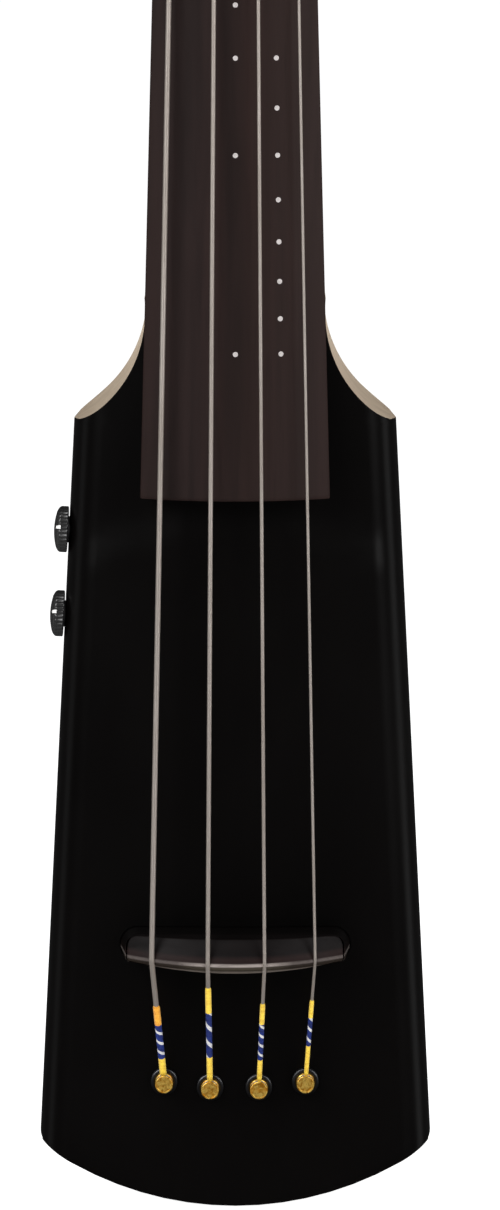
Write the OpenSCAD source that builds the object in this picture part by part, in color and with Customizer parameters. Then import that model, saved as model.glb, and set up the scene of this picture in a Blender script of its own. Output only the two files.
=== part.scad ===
// Electric upright bass with a solid body, an arched bridge and worm-gear tuners.
// Origin: the mouth of the stand hole, in the flat back (y = 0). +Z runs up the neck,
// +X is to the right seen from the front, and the front faces -Y. Millimetres.

/* [Scale and strings] */
// Speaking length, from the nut's edge to the bridge line
scale_len = 1060; // [1050:1:1070]
// Height of the bridge line above the stand hole
bridge_z = -50; // [-52:1:-48]
// How far the bridge crest stands behind the bridge line
crest_back = 8.7; // [8:0.1:9.2]
// Gap between a string and the board at the nut
nut_action = 1; // [0.6:0.1:1.4]

/* [Body] */
// Thickness of the body on its centre line
body_t = 50; // [49:0.5:51]
// Radius of the crowned front
front_r = 600; // [500:10:800]
// How far the rounded sides reach in from the edge
side_round = 14; // [13:0.5:15]
// Half width at the shoulder corners, half way through the body
shoulder_hw = 73; // [72:0.5:74]
// Height of the shoulder corners above the bridge line
shoulder_up = 230; // [229:0.5:231]
// Half width at the bottom corners
bottom_hw = 89.2; // [88:0.2:90]
// Depth of the bottom corners below the bridge line
corner_down = 98; // [97:0.5:99]
// Depth of the lowest point below the bridge line
bottom_down = 126; // [125:0.5:127]
// Radius of the bottom curve
bottom_r = 157; // [155:1:159]
// Radius of the scoops between shoulders and neck
scoop_r = 57; // [56:0.5:58]
// How far the scoops lean, so that their walls face a little to the front, in degrees
scoop_lean = 4.6; // [0:0.1:6]

/* [Neck and fingerboard] */
// Board width at the nut
nut_w = 42; // [41:0.5:43]
// Board width at its lower end
board_w = 85; // [84:0.5:86]
// Height of the board's lower end above the bridge line
board_up = 199; // [197:1:201]
// Crown radius of the board
board_r = 85; // [80:1:90]
// Board thickness in the middle at the nut
board_nut_t = 10.5; // [10:0.1:11]
// Board thickness in the middle at its lower end
board_end_t = 17.5; // [17:0.1:18]
// Gap between the body's front and the underside of the board
board_gap = 6; // [5:0.5:7]
// Depth of the neck behind the board at the nut
neck_nut_d = 24; // [23:0.5:25]
// Depth of the neck behind the board above the heel
neck_heel_d = 33; // [32:0.5:34]

/* [Bridge] */
// Height of the bridge crest above the body's front
bridge_h = 35; // [34:0.5:36]
// Radius of the bridge crown
crown_r = 97; // [95:1:99]
// Lean of the crown's axis, which bows the ends of the crest towards the head, in degrees
crown_lean = 9; // [6:1:12]
// Half width of the bridge at its base
bridge_hw = 52; // [51:0.5:53]
// Thickness of the bridge at its base
bridge_t = 16; // [15:0.5:17]
// Radius of the curved lower edge of the bridge, seen from the front
belly_r = 405; // [380:5:430]

/* [Controls] */
// Height of the upper knob above the bridge line
knob_up = 180.5; // [179:0.5:182]
// Distance between the two knobs
knob_pitch = 38.5; // [38:0.5:40]
// Diameter of a knob
knob_d = 21; // [20:0.5:21.5]
// Height of a knob
knob_h = 6.3; // [6.2:0.1:6.6]

/* [Tuners] */
// Gear tooth module
gear_m = 1.1; // [1.1:0.05:1.1]
// Teeth on a tuner gear
gear_teeth = 20; // [20:1:20]
// Pitch radius of a worm
worm_pitch_r = 4; // [4:0.1:4]
// Radius of a string drum
drum_r = 6.5; // [6:0.1:6.6]

/* [Hidden] */
$fn = 64;

// Clearance of a running fit, and of a glued or pressed one
run_gap = 0.05;
fit_gap = 0.02;

// Planes and lines that the parts share
front_y = -body_t;
glue_y = front_y - board_gap;
crest_y = front_y - bridge_h;
crown_axis_y = crest_y + crown_r;
crest_z = bridge_z - crest_back;
nut_z = bridge_z + scale_len;
board_z = bridge_z + board_up;
shoulder_z = bridge_z + shoulder_up;
corner_z = bridge_z - corner_down;
bottom_z = bridge_z - bottom_down;
wall_slope = (bottom_hw - shoulder_hw) / (shoulder_z - corner_z);
wall_tilt = atan(wall_slope);
board_tilt = atan((board_end_t - board_nut_t) / (nut_z - board_z));
board_len = nut_z - board_z;

// Neck joint: tongue in the body and heel above it
tongue_hw = 30;
tongue_low = bridge_z + 212;
heel_z = bridge_z + 288;
heel_top = bridge_z + 345;
tongue_back = -18;

// Strings in the order E, A, D, G
string_r = [1.2, 1.0, 0.8, 0.65];
string_bridge_x = [-37.4, -12.2, 13.2, 35.9];
string_nut_x = [-17.2, -5.1, 6.2, 17.2];
anchor_x = [-32.2, -11.4, 10.7, 31.8];
anchor_z = [for (down = [68.2, 70.9, 70.9, 68.2]) bridge_z - down];
silk_span = [[0.40, 0.96], [0.19, 0.97], [0.335, 0.98], [0.35, 0.96]];
silk_t = 0.35;

// Ball ends and the pins that hold them
ball_r = 4;
ball_waist_r = 3;
ball_h = 7;
ball_seat_y = front_y - 1;
ball_mid_y = ball_seat_y - ball_h / 2;
flange_r = 6.2;
shank_r = 4;
shank_back = -26;
tail_reach = 5.6;

// Head with an open slot, and the tuners on both cheeks
head_hw = 28.5;
head_front = glue_y - 4;
head_back = -22;
slot_hw = 19;
slot_low = nut_z + 9;
slot_top = nut_z + 162;
slot_floor = -29;
head_top = nut_z + 200;
roller_y = -38;
roller_z = [for (up = [45, 105, 130, 70]) nut_z + up];
roller_side = [-1, -1, 1, 1];
winding_x = [-11, -4, 5, 11];
plate_t = 1.8;
plate_x = head_hw + plate_t;
gear_x = 36.5;
gear_w = 4;
worm_l = 12;
worm_pitch = PI * gear_m;
gear_pitch_r = gear_m * gear_teeth / 2;
worm_drop = gear_pitch_r + worm_pitch_r;
journal_r = 2;
axle_r = 4;
truss_y = glue_y + 5;

// Bridge fixings
bolt_x = 43;
pickup_x = 28;
bridge_floor = front_y + 4;
bridge_mid_z = crest_z - 5 + bridge_t / 2;
groove_y = bridge_floor + 1.5;
cable_x = -14;

// Control cavity, jack and stand hole
wall_y = -25;
wall_t = 9;
pot_bore_r = 9.2;
cavity_in = 20;
cavity_low = bridge_z + 112;
cavity_top = bridge_z + 203;
cavity_right = -18;
cavity_floor = -40;
cover_t = 2.2;
cover_lip = 5;
knob_z = [bridge_z + knob_up, bridge_z + knob_up - knob_pitch];
knob_gap = 0.5;
jack_x = -48;
jack_z = bridge_z + 72;
jack_r = 9;
jack_bore_r = 3.2;
stand_r = 4.25;
stand_depth = 24;

// Position marks: semitones above the open string
centre_marks = [3, 5, 7, 9, 12, 16, 17, 19, 24];
treble_marks = [17, 18, 19, 20, 21, 22, 23, 24];
mark_r = 1.15;

function wall_x(z) = -(shoulder_hw + (shoulder_z - z) * wall_slope);
function board_top(z) = glue_y - board_end_t + (z - board_z) * (board_end_t - board_nut_t) / board_len;
function board_hw(z) = (nut_w + (board_w - nut_w) * (nut_z - z) / board_len) / 2;
function board_surface(x, z) = board_top(z) + board_r - sqrt(board_r * board_r - x * x);
function mark_z(n) = bridge_z + scale_len / pow(2, n / 12);
function along(p, q, t) = p + (q - p) * t;
function unit(v) = v / norm(v);

// Points of a string: drum, nut, bridge crest, ball end, and the bend just before the ball
function drum_point(i) =
    [winding_x[i], roller_y - drum_r - string_r[i] - 0.3, roller_z[i]];
function nut_point(i) =
    [string_nut_x[i], board_surface(string_nut_x[i], nut_z) - nut_action - string_r[i], nut_z + 3.5];
function crest_point(i) =
    [string_bridge_x[i],
     crown_axis_y - sqrt(pow(crown_r + 0.4 * string_r[i], 2) - pow(string_bridge_x[i], 2)),
     crest_z + tan(crown_lean) * pow(string_bridge_x[i], 2) / (2 * crown_r)];
function ball_point(i) = [anchor_x[i], ball_mid_y, anchor_z[i]];
function tail_way(i) =
    unit([crest_point(i)[0] - anchor_x[i], 0, crest_point(i)[2] - anchor_z[i]]);
function tail_bend(i) = ball_point(i) + tail_reach * tail_way(i);
function tail_end(i) = ball_point(i) + (ball_waist_r + 0.15) * tail_way(i);
function tail_point(i, t) = along(crest_point(i), tail_bend(i), t);

// A solid from rings of points, each ring running anticlockwise seen from its far end
module ring_solid(rings) {
    n = len(rings[0]);
    last = len(rings) - 1;
    points = [for (ring = rings) for (p = ring) p];
    first_half = [for (j = [0:last - 1]) for (k = [0:n - 1])
        [j * n + k, (j + 1) * n + k, (j + 1) * n + (k + 1) % n]];
    second_half = [for (j = [0:last - 1]) for (k = [0:n - 1])
        [j * n + k, (j + 1) * n + (k + 1) % n, j * n + (k + 1) % n]];
    start_cap = [[for (k = [0:n - 1]) k]];
    end_cap = [[for (k = [n - 1:-1:0]) last * n + k]];
    polyhedron(points = points, faces = concat(first_half, second_half, start_cap, end_cap));
}

// A wire of radius r along a list of points
module wire(path, r, sides = 8) {
    reference = [0.36, 0.48, 0.8];
    last = len(path) - 1;
    ring_solid([for (i = [0:last])
        let (t = unit(path[min(i + 1, last)] - path[max(i - 1, 0)]))
        let (u = unit(cross(t, reference)))
        let (v = cross(t, u))
        [for (k = [0:sides - 1]) path[i] + r * (cos(k * 360 / sides) * u + sin(k * 360 / sides) * v)]]);
}

// A round bar between two points
module bar(p, q, r) {
    d = q - p;
    translate(p)
        rotate([0, acos(d[2] / norm(d)), atan2(d[1], d[0])])
            cylinder(r = r, h = norm(d));
}

// A cylinder along Y from y0 to y1
module pin_y(x, z, y0, y1, r) {
    translate([x, y0, z]) rotate([-90, 0, 0]) cylinder(r = r, h = y1 - y0);
}

// A cylinder along X from x0 to x1
module pin_x(y, z, x0, x1, r) {
    translate([x0, y, z]) rotate([0, 90, 0]) cylinder(r = r, h = x1 - x0);
}

// An outline drawn in x and z, thickened from y0 to y1
module slab(y0, y1) {
    translate([0, y1, 0]) rotate([90, 0, 0]) linear_extrude(y1 - y0) children();
}

module box(low, high) {
    translate(low) cube(high - low);
}

// Places children on the sloping left wall, with +Z pointing out of the body
module on_wall(z) {
    translate([wall_x(z), wall_y, z]) rotate([0, wall_tilt - 90, 0]) children();
}

// A countersunk or round-headed screw along Y, its head at the back
module wood_screw(x, z, head_y, head_r, shank_r, length) {
    difference() {
        union() {
            translate([x, head_y, z]) rotate([90, 0, 0]) cylinder(r1 = head_r, r2 = shank_r, h = head_r - shank_r);
            pin_y(x, z, head_y - length, head_y, shank_r);
        }
        for (turn = [0, 90])
            translate([x, head_y, z]) rotate([0, turn, 0]) cube([head_r * 1.2, 1.4, 0.6], center = true);
    }
}

module stadium(hw, t) {
    square([2 * (hw - t / 2), t], center = true);
    for (side = [-1, 1]) translate([side * (hw - t / 2), 0]) circle(d = t);
}

// The bridge's footprint, grown evenly: round ends and a curved lower edge
module bridge_plan(grow = 0) {
    intersection() {
        stadium(bridge_hw + grow, bridge_t + 2 * grow);
        translate([0, belly_r - bridge_t / 2]) circle(r = belly_r + grow, $fn = 720);
    }
}

// The bottom curve and the top edge, seen from the front
module body_outline() {
    bottom_axis = bottom_z + bottom_r;
    translate([0, bottom_axis]) circle(r = bottom_r, $fn = 128);
    translate([-bottom_r, bottom_axis]) square([2 * bottom_r, heel_z - bottom_axis]);
}

// The two round scoops beside the neck
module scoops() {
    for (side = [-1, 1])
        translate([side * (scoop_r + 40.5), front_y / 2, bridge_z + 283])
            rotate([scoop_lean - 90, 0, 0]) cylinder(r = scoop_r, h = 2 * body_t, center = true, $fn = 128);
}

// Depth of the front surface at x, where the body is w wide to each side
function front_depth(x, w) =
    let (crown = x * x / (2 * front_r))
    let (u = max(0, abs(x) - (w - side_round)) / side_round)
    front_y + crown + (body_t / 2 - w * w / (2 * front_r)) * (1 - sqrt(max(0, 1 - u * u)));

// A level section of the body: crowned front, round sides, flat back
function body_section(z) =
    let (w = -wall_x(z))
    let (flat = w - side_round)
    let (front_x = concat([for (a = [-90:10:-10]) -flat + side_round * sin(a)],
                          [for (k = [-4:4]) k * flat / 4],
                          [for (a = [10:10:90]) flat + side_round * sin(a)]))
    concat([for (x = front_x) [x, front_depth(x, w), z]],
           [for (a = [10:10:90]) [flat + side_round * cos(a), wall_y + body_t / 2 * sin(a), z]],
           [for (a = [90:10:170]) [-flat + side_round * cos(a), wall_y + body_t / 2 * sin(a), z]]);

module cavity_outline(lip) {
    polygon([[wall_x(cavity_low - lip) + cavity_in - lip, cavity_low - lip],
             [cavity_right + lip, cavity_low - lip],
             [cavity_right + lip, cavity_top + lip],
             [wall_x(cavity_top + lip) + cavity_in - lip, cavity_top + lip]]);
}

module cover_screw_places() {
    for (z = [cavity_low - 2.5, cavity_top + 2.5])
        for (x = [wall_x(z) + cavity_in + 4, cavity_right - 4])
            translate([x, 0, z]) children();
}

module jack_screw_places() {
    for (dx = [-14, 14])
        for (dz = [-14, 14])
            translate([jack_x + dx, 0, jack_z + dz]) children();
}

module stand_screw_places() {
    for (x = [-20, 20])
        for (z = [-17, 17])
            translate([x, 0, z]) children();
}

module body() {
    color([0.03, 0.03, 0.03]) difference() {
        intersection() {
            slab(front_y - 1, 1) body_outline();
            ring_solid([body_section(bottom_z - 2), body_section(heel_z)]);
        }
        scoops();
        // Neck pocket
        box([-tongue_hw - fit_gap, front_y - 1, tongue_low - fit_gap],
            [tongue_hw + fit_gap, tongue_back + fit_gap, heel_z + 1]);
        // Bridge pocket and cable groove
        translate([0, 0, bridge_mid_z])
            slab(front_y - 1, bridge_floor) bridge_plan(0.3);
        box([-pickup_x - 2, bridge_floor - 1, bridge_mid_z - 2],
            [pickup_x + 2, bridge_floor + 3, bridge_mid_z + 2]);
        pin_y(cable_x, bridge_mid_z, bridge_floor - 1, wall_y, 3);
        bar([cable_x, wall_y - 2, bridge_mid_z], [-40, wall_y - 2, cavity_low + 5], 3);
        // Bridge bolts
        for (side = [-1, 1]) {
            pin_y(side * bolt_x, bridge_mid_z, front_y - 1, 1, 2.7);
            pin_y(side * bolt_x, bridge_mid_z, -24, 1, 5.2);
        }
        // String anchors
        for (i = [0:3]) {
            pin_y(anchor_x[i], anchor_z[i], front_y - 1, shank_back, shank_r + fit_gap);
            pin_y(anchor_x[i], anchor_z[i], front_y - 1, front_y + 1.5, flange_r + fit_gap);
        }
        // Control cavity, its lid's recess and the holes for the controls
        slab(cavity_floor, 1) cavity_outline(0);
        slab(-cover_t, 1) cavity_outline(cover_lip);
        cover_screw_places() pin_y(0, 0, -14, 0, 1.4);
        for (z = knob_z)
            on_wall(z) {
                translate([0, 0, -wall_t - 4]) cylinder(r = 3.6, h = wall_t + 6);
                translate([0, 0, -cavity_in - 2]) cylinder(r = pot_bore_r, h = cavity_in + 2 - wall_t);
            }
        // Jack well, its plate and its wire hole
        pin_y(jack_x, jack_z, -38, 1, 11);
        box([jack_x - 19, -2, jack_z - 19], [jack_x + 19, 1, jack_z + 19]);
        jack_screw_places() pin_y(0, 0, -14, 0, 1.4);
        bar([jack_x, -16, jack_z + 5], [jack_x, -16, cavity_low + 5], 3);
        // Stand plate and its boss
        box([-27, -4, -25], [27, 1, 25]);
        pin_y(0, 0, -stand_depth - 4, 1, 11 + fit_gap);
        stand_screw_places() pin_y(0, 0, -24, 0, 2);
    }
}

// A neck section of width w and depth d behind the glue face; a low squareness is boxy
function neck_slice(z, w, d, squareness) =
    [for (a = [0:10:180])
        [w / 2 * sign(cos(a)) * pow(abs(cos(a)), squareness),
         glue_y + d * pow(max(sin(a), 0), squareness), z]];

module neck_back() {
    heel_mid = (heel_z + heel_top) / 2;
    body_d = body_t + board_gap;
    ring_solid([
        neck_slice(heel_z, 80.8, body_d - 3, 0.35),
        neck_slice(heel_z + 14, 2 * board_hw(heel_z + 14), body_d - 8, 0.4),
        neck_slice(heel_mid, 2 * board_hw(heel_mid), 0.7 * body_d, 0.5),
        neck_slice(heel_top, 2 * board_hw(heel_top), neck_heel_d, 0.7),
        neck_slice(nut_z - 30, 2 * board_hw(nut_z - 30), neck_nut_d, 0.7),
        neck_slice(nut_z - 6, 2 * board_hw(nut_z - 6) + 1, neck_nut_d + 5, 0.5),
        neck_slice(nut_z + 12, 52, head_back - glue_y - 0.5, 0.35)]);
}

module head_outline() {
    polygon([[-nut_w / 2 - 1, nut_z - 1], [-head_hw, nut_z + 17], [-head_hw, nut_z + 155],
             [-head_hw + 5, nut_z + 185], [-12, head_top - 1], [0, head_top + 1], [12, head_top - 1],
             [head_hw - 5, nut_z + 185], [head_hw, nut_z + 155], [head_hw, nut_z + 17],
             [nut_w / 2 + 1, nut_z - 1]]);
}

module neck() {
    color([0.72, 0.62, 0.48]) difference() {
        union() {
            box([-tongue_hw, glue_y, tongue_low], [tongue_hw, tongue_back, heel_z + 6]);
            neck_back();
            slab(glue_y, head_back) head_outline();
            slab(head_front, glue_y) intersection() {
                head_outline();
                translate([-50, nut_z + 7]) square([100, 300]);
            }
        }
        // Open slot with rounded ends
        slab(head_front - 1, slot_floor) {
            translate([-slot_hw, slot_low]) square([2 * slot_hw, slot_top - slot_low - 8]);
            translate([-slot_hw + 8, slot_top - 9]) square([2 * slot_hw - 16, 9]);
            for (side = [-1, 1]) translate([side * (slot_hw - 8), slot_top - 8]) circle(r = 8);
        }
        // Drum bearings
        for (i = [0:3]) {
            pin_x(roller_y, roller_z[i], -head_hw - 1, head_hw + 1, axle_r + run_gap);
        }
        // Truss rod channel
        translate([0, truss_y, heel_top - 10])
            cylinder(r = 3 + fit_gap, h = slot_low - heel_top + 11);
        tuner_screw_places() pin_x(0, 0, -9, 0, 1.5);
    }
}

// Everything under the board's crowned top
module crown_solid() {
    translate([0, board_top(board_z) + board_r, board_z])
        rotate([-board_tilt, 0, 0])
            translate([0, 0, -20]) cylinder(r = board_r, h = board_len + 60, $fn = 256);
}

module marks(depth) {
    for (n = centre_marks)
        pin_y(0.2, mark_z(n), board_top(mark_z(n)) - 3, board_top(mark_z(n)) + depth, mark_r);
    for (n = treble_marks)
        let (x = 18.4 + 0.3 * (n - treble_marks[0]))
        pin_y(x, mark_z(n), board_top(mark_z(n)) - 3, board_surface(x, mark_z(n)) + depth, mark_r);
}

module fingerboard() {
    color([0.10, 0.07, 0.06]) difference() {
        intersection() {
            slab(glue_y - 25, glue_y)
                polygon([[-board_w / 2, board_z], [board_w / 2, board_z],
                         [nut_w / 2, nut_z], [-nut_w / 2, nut_z]]);
            crown_solid();
        }
        marks(2);
    }
}

module position_dots() {
    color([0.92, 0.89, 0.86]) intersection() {
        marks(2);
        crown_solid();
    }
}

// A string's straight runs, joined by slightly larger knuckles at its bends
module string_run(i, extra) {
    r = string_r[i] + extra;
    bar(drum_point(i), nut_point(i), r);
    bar(nut_point(i), crest_point(i), r);
    bar(crest_point(i), tail_bend(i), r);
    bar(tail_bend(i), tail_end(i), r);
    for (bend = [nut_point(i), crest_point(i), tail_bend(i)])
        translate(bend) sphere(r = 1.05 * r, $fn = 32);
}

module nut() {
    color([0.08, 0.06, 0.05]) difference() {
        intersection() {
            box([-nut_w / 2, glue_y - 25, nut_z], [nut_w / 2, glue_y, nut_z + 7]);
            translate([0, board_top(nut_z) + board_r, nut_z - 1])
                cylinder(r = board_r + nut_action + 0.9, h = 9, $fn = 256);
        }
        for (i = [0:3]) string_run(i, fit_gap);
    }
}

module truss_rod() {
    color([0.45, 0.45, 0.47]) translate([0, truss_y, heel_top - 8]) {
        cylinder(r = 3, h = slot_low - heel_top + 8);
        cylinder(r = 2.5, h = slot_low - heel_top + 18);
    }
}

module truss_rod_nut() {
    color([0.75, 0.6, 0.3]) translate([0, truss_y, slot_low + 0.3]) difference() {
        cylinder(r = 4.4, h = 17);
        translate([0, 0, -1]) cylinder(r = 2.5 + run_gap, h = 12);
        translate([0, 0, 12]) cylinder(r = 2.9, h = 6, $fn = 6);
    }
}

// Section of the bridge's top in its middle, as depth below the crest and height above it, then the same
// section seen from the leaning axis, as distance from the axis and height along it
crest_section = [[7, 17], [5.5, 10.2], [0.6, 0.8], [0, 0], [0.4, -2], [8, -4]];
lean_r = crown_r * cos(crown_lean);
crest_turned = [for (p = crest_section)
    [lean_r - p[0] * cos(crown_lean) - p[1] * sin(crown_lean), p[1] * cos(crown_lean) - p[0] * sin(crown_lean)]];

module bridge() {
    edge = crest_z - 5;
    color([0.12, 0.10, 0.10]) difference() {
        intersection() {
            translate([0, 0, bridge_mid_z]) slab(crest_y - 3, bridge_floor) bridge_plan();
            translate([0, crest_y, crest_z]) rotate([crown_lean, 0, 0])
                translate([0, lean_r, 0]) rotate_extrude($fn = 256)
                    polygon(concat([[0, crest_turned[0][1]]], crest_turned, [[crest_turned[5][0], -32], [0, -32]]));
            translate([0, 0, edge - 1]) linear_extrude(bridge_t + 2)
                polygon([[-bridge_hw, bridge_floor], [bridge_hw, bridge_floor],
                         [bridge_hw - 3.5, crest_y + 10], [bridge_hw - 3.5, crest_y - 3],
                         [-bridge_hw + 3.5, crest_y - 3], [-bridge_hw + 3.5, crest_y + 10]]);
        }
        for (i = [0:3]) string_run(i, fit_gap);
        for (side = [-1, 1]) {
            pin_y(side * bolt_x, bridge_mid_z, bridge_floor - 12, bridge_floor + 1, 3.5 + fit_gap);
            box([side * pickup_x - 11, bridge_floor - 4, bridge_mid_z - 3],
                [side * pickup_x + 11, bridge_floor + 1, bridge_mid_z + 3]);
        }
    }
}

module bridge_inserts() {
    color([0.78, 0.62, 0.30]) for (side = [-1, 1]) difference() {
        pin_y(side * bolt_x, bridge_mid_z, bridge_floor - 12, bridge_floor, 3.5);
        pin_y(side * bolt_x, bridge_mid_z, bridge_floor - 13, bridge_floor + 1, 2.5 + run_gap);
    }
}

module bridge_bolts() {
    color([0.15, 0.15, 0.16]) for (side = [-1, 1]) difference() {
        union() {
            pin_y(side * bolt_x, bridge_mid_z, bridge_floor - 11, -24, 2.5);
            pin_y(side * bolt_x, bridge_mid_z, -24, -19, 4.3);
        }
        translate([side * bolt_x, -22, bridge_mid_z]) rotate([-90, 0, 0]) cylinder(r = 2.3, h = 4, $fn = 6);
    }
}

module pickup_elements() {
    color([0.70, 0.66, 0.55]) for (side = [-1, 1])
        box([side * pickup_x - 11 + fit_gap, bridge_floor - 4 + fit_gap, bridge_mid_z - 3 + fit_gap],
            [side * pickup_x + 11 - fit_gap, bridge_floor - fit_gap, bridge_mid_z + 3 - fit_gap]);
}

// Each cable runs along the groove, down its hole and up to the circuit board
cable_rise = [for (side = [-1, 1])
    let (start = [side * pickup_x, groove_y, bridge_mid_z])
    let (drop = [cable_x + side * 1.4, groove_y, bridge_mid_z])
    [start, drop + [side * 2.5, 0, 0], drop + [side * 0.8, 0.8, 0], drop + [0, 2.5, 0],
     [drop[0], wall_y - 5.5, bridge_mid_z], [drop[0] - 0.2, wall_y - 3, bridge_mid_z + 1.2],
     [drop[0] - 0.9, wall_y - 2, bridge_mid_z + 4],
     [-39 + side * 1.4, wall_y - 2, cavity_low + 2],
     [-38 + side * 2.4, wall_y - 4, cavity_low + 8],
     [-36 + side * 3, wall_y - 9, cavity_low + 17],
     [-35 + side * 3, cavity_floor + 3, cavity_low + 25]]];

module pickup_cables() {
    color([0.85, 0.84, 0.80]) for (path = cable_rise) wire(path, 1.1);
}

module string_anchors() {
    color([0.07, 0.07, 0.08]) for (i = [0:3]) difference() {
        union() {
            pin_y(anchor_x[i], anchor_z[i], front_y + 1.5, shank_back, shank_r);
            pin_y(anchor_x[i], anchor_z[i], front_y - 2, front_y + 1.5, flange_r);
            pin_y(anchor_x[i], anchor_z[i], ball_seat_y - ball_h + 1.2, front_y, 1.6);
        }
        difference() {
            pin_y(anchor_x[i], anchor_z[i], front_y - 3, ball_seat_y, ball_r + 0.3);
            pin_y(anchor_x[i], anchor_z[i], front_y - 9, ball_seat_y, 1.6);
        }
    }
}

// Spools with a blind bore that slips over the anchor's pin
module ball_ends() {
    color([0.80, 0.62, 0.28]) for (i = [0:3]) difference() {
        union() {
            pin_y(anchor_x[i], anchor_z[i], ball_seat_y - ball_h, ball_seat_y, ball_waist_r);
            pin_y(anchor_x[i], anchor_z[i], ball_seat_y - ball_h, ball_seat_y - ball_h + 1.6, ball_r);
            pin_y(anchor_x[i], anchor_z[i], ball_seat_y - 1.6, ball_seat_y, ball_r);
        }
        pin_y(anchor_x[i], anchor_z[i], ball_seat_y - ball_h + 0.9, ball_seat_y + 1, 1.6 + run_gap);
    }
}

module string(i) {
    color([0.58, 0.56, 0.53]) string_run(i, 0);
}

module string_e() { string(0); }
module string_a() { string(1); }
module string_d() { string(2); }
module string_g() { string(3); }

module string_silks() {
    color([0.15, 0.22, 0.50]) for (i = [0:3]) difference() {
        bar(tail_point(i, silk_span[i][0]), tail_point(i, silk_span[i][1]), string_r[i] + silk_t);
        bar(tail_point(i, silk_span[i][0] - 0.02), tail_point(i, silk_span[i][1] + 0.02), string_r[i] + 0.01);
    }
}

module control_cover() {
    color([0.05, 0.05, 0.05]) difference() {
        slab(-cover_t, 0) cavity_outline(cover_lip - 0.2);
        cover_screw_places() {
            pin_y(0, 0, -cover_t - 1, 1, 1.5);
            translate([0, 0.01, 0]) rotate([90, 0, 0]) cylinder(r1 = 2.8, r2 = 1.5, h = 1.3);
        }
    }
}

module control_cover_screws() {
    color([0.2, 0.2, 0.2]) cover_screw_places() wood_screw(0, 0, 0, 2.7, 1.4, 12);
}

// A control: can inside the wall, bushing through it and a free bore for the shaft
module potentiometers() {
    color([0.55, 0.55, 0.57]) for (z = knob_z) on_wall(z) difference() {
        union() {
            translate([0, 0, -wall_t - 9]) cylinder(r = 8, h = 8.5);
            translate([0, 0, -wall_t - 1]) cylinder(r = 3.5, h = wall_t + 3.4);
            for (dy = [-4, 0, 4])
                translate([-5.5, dy - 0.8, -wall_t - 13]) cube([0.8, 1.6, 4.5]);
        }
        translate([0, 0, -wall_t - 6]) cylinder(r = 3 + run_gap, h = wall_t + 9);
    }
}

module pot_washers() {
    color([0.75, 0.75, 0.76]) for (z = knob_z) on_wall(z) difference() {
        cylinder(r = 6, h = 0.5);
        translate([0, 0, -1]) cylinder(r = 3.5 + fit_gap, h = 3);
    }
}

module pot_nuts() {
    color([0.70, 0.70, 0.72]) for (z = knob_z) on_wall(z) difference() {
        translate([0, 0, 0.5]) cylinder(r = 5.6, h = 1.8, $fn = 6);
        translate([0, 0, -1]) cylinder(r = 3.5, h = 5);
    }
}

module control_shaft(z) {
    color([0.62, 0.62, 0.63]) on_wall(z)
        translate([0, 0, -wall_t - 5.5]) cylinder(r = 3, h = wall_t + 11.5);
}

// A knob with a hollow foot over the nut, a chamfered rim and a set screw hole
module control_knob(z) {
    color([0.04, 0.04, 0.04]) on_wall(z) difference() {
        union() {
            translate([0, 0, knob_gap]) cylinder(d = knob_d, h = knob_h - 2.4);
            translate([0, 0, knob_gap + knob_h - 2.4]) cylinder(d1 = knob_d, d2 = knob_d - 3.4, h = 1.7);
            translate([0, 0, knob_gap + knob_h - 0.7]) cylinder(d1 = knob_d - 3.4, d2 = knob_d - 10, h = 0.7);
        }
        translate([0, 0, 0]) cylinder(r = 6.8, h = 3);
        translate([0, 0, 0]) cylinder(r = 3, h = 6);
        translate([0, 0, 4.6]) rotate([0, 90, 0]) cylinder(r = 1.25 + fit_gap, h = knob_d);
    }
}

module set_screw(z) {
    color([0.1, 0.1, 0.1]) on_wall(z) translate([3.01, 0, 4.6]) rotate([0, 90, 0]) difference() {
        cylinder(r = 1.25, h = 5);
        translate([0, 0, 3.5]) cylinder(r = 0.7, h = 3, $fn = 6);
    }
}

module volume_shaft() { control_shaft(knob_z[0]); }
module tone_shaft() { control_shaft(knob_z[1]); }
module volume_knob() { control_knob(knob_z[0]); }
module tone_knob() { control_knob(knob_z[1]); }
module knob_set_screw_volume() { set_screw(knob_z[0]); }
module knob_set_screw_tone() { set_screw(knob_z[1]); }

module circuit_board() {
    z = (cavity_low + cavity_top) / 2;
    color([0.10, 0.32, 0.16]) {
        box([-42, cavity_floor, z - 22], [-22, cavity_floor + 1.6, z + 22]);
        for (dz = [-15, -5, 5])
            box([-37, cavity_floor + 1.5, z + dz], [-30, cavity_floor + 5, z + dz + 5]);
        pin_y(-28, z + 15, cavity_floor + 1.5, cavity_floor + 9, 3);
    }
}

// Leads from the board to each control and down to the jack
lead_paths = [for (z = knob_z)
    [[-40, cavity_floor + 2.6, z - 2], [-43, cavity_floor + 3.5, z - 3], [-47, -33, z - 4],
     [-49.5, -29, z - 4.6], [-51.3, -26.5, z - 5], [-52.6, -25.4, z - 5.3]]];
jack_lead = [[-40, cavity_floor + 2.8, cavity_low + 24.8], [-44, -35, cavity_low + 20],
             [jack_x + 2, -28, cavity_low + 12], [jack_x, -20, cavity_low + 5],
             [jack_x, -16, cavity_low - 2], [jack_x, -16, jack_z + 14],
             [jack_x, -16, jack_z + jack_r + 0.2]];

module wiring() {
    color([0.55, 0.10, 0.10]) {
        for (path = lead_paths) wire(path, 0.8, 6);
        wire(jack_lead, 1.2, 6);
    }
}

module jack_body() {
    color([0.10, 0.10, 0.10]) difference() {
        union() {
            pin_y(jack_x, jack_z, -32, -2, jack_r);
            pin_y(jack_x, jack_z, -3, 3.6, 4.7);
        }
        pin_y(jack_x, jack_z, -30, 4.6, jack_bore_r);
    }
}

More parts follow.
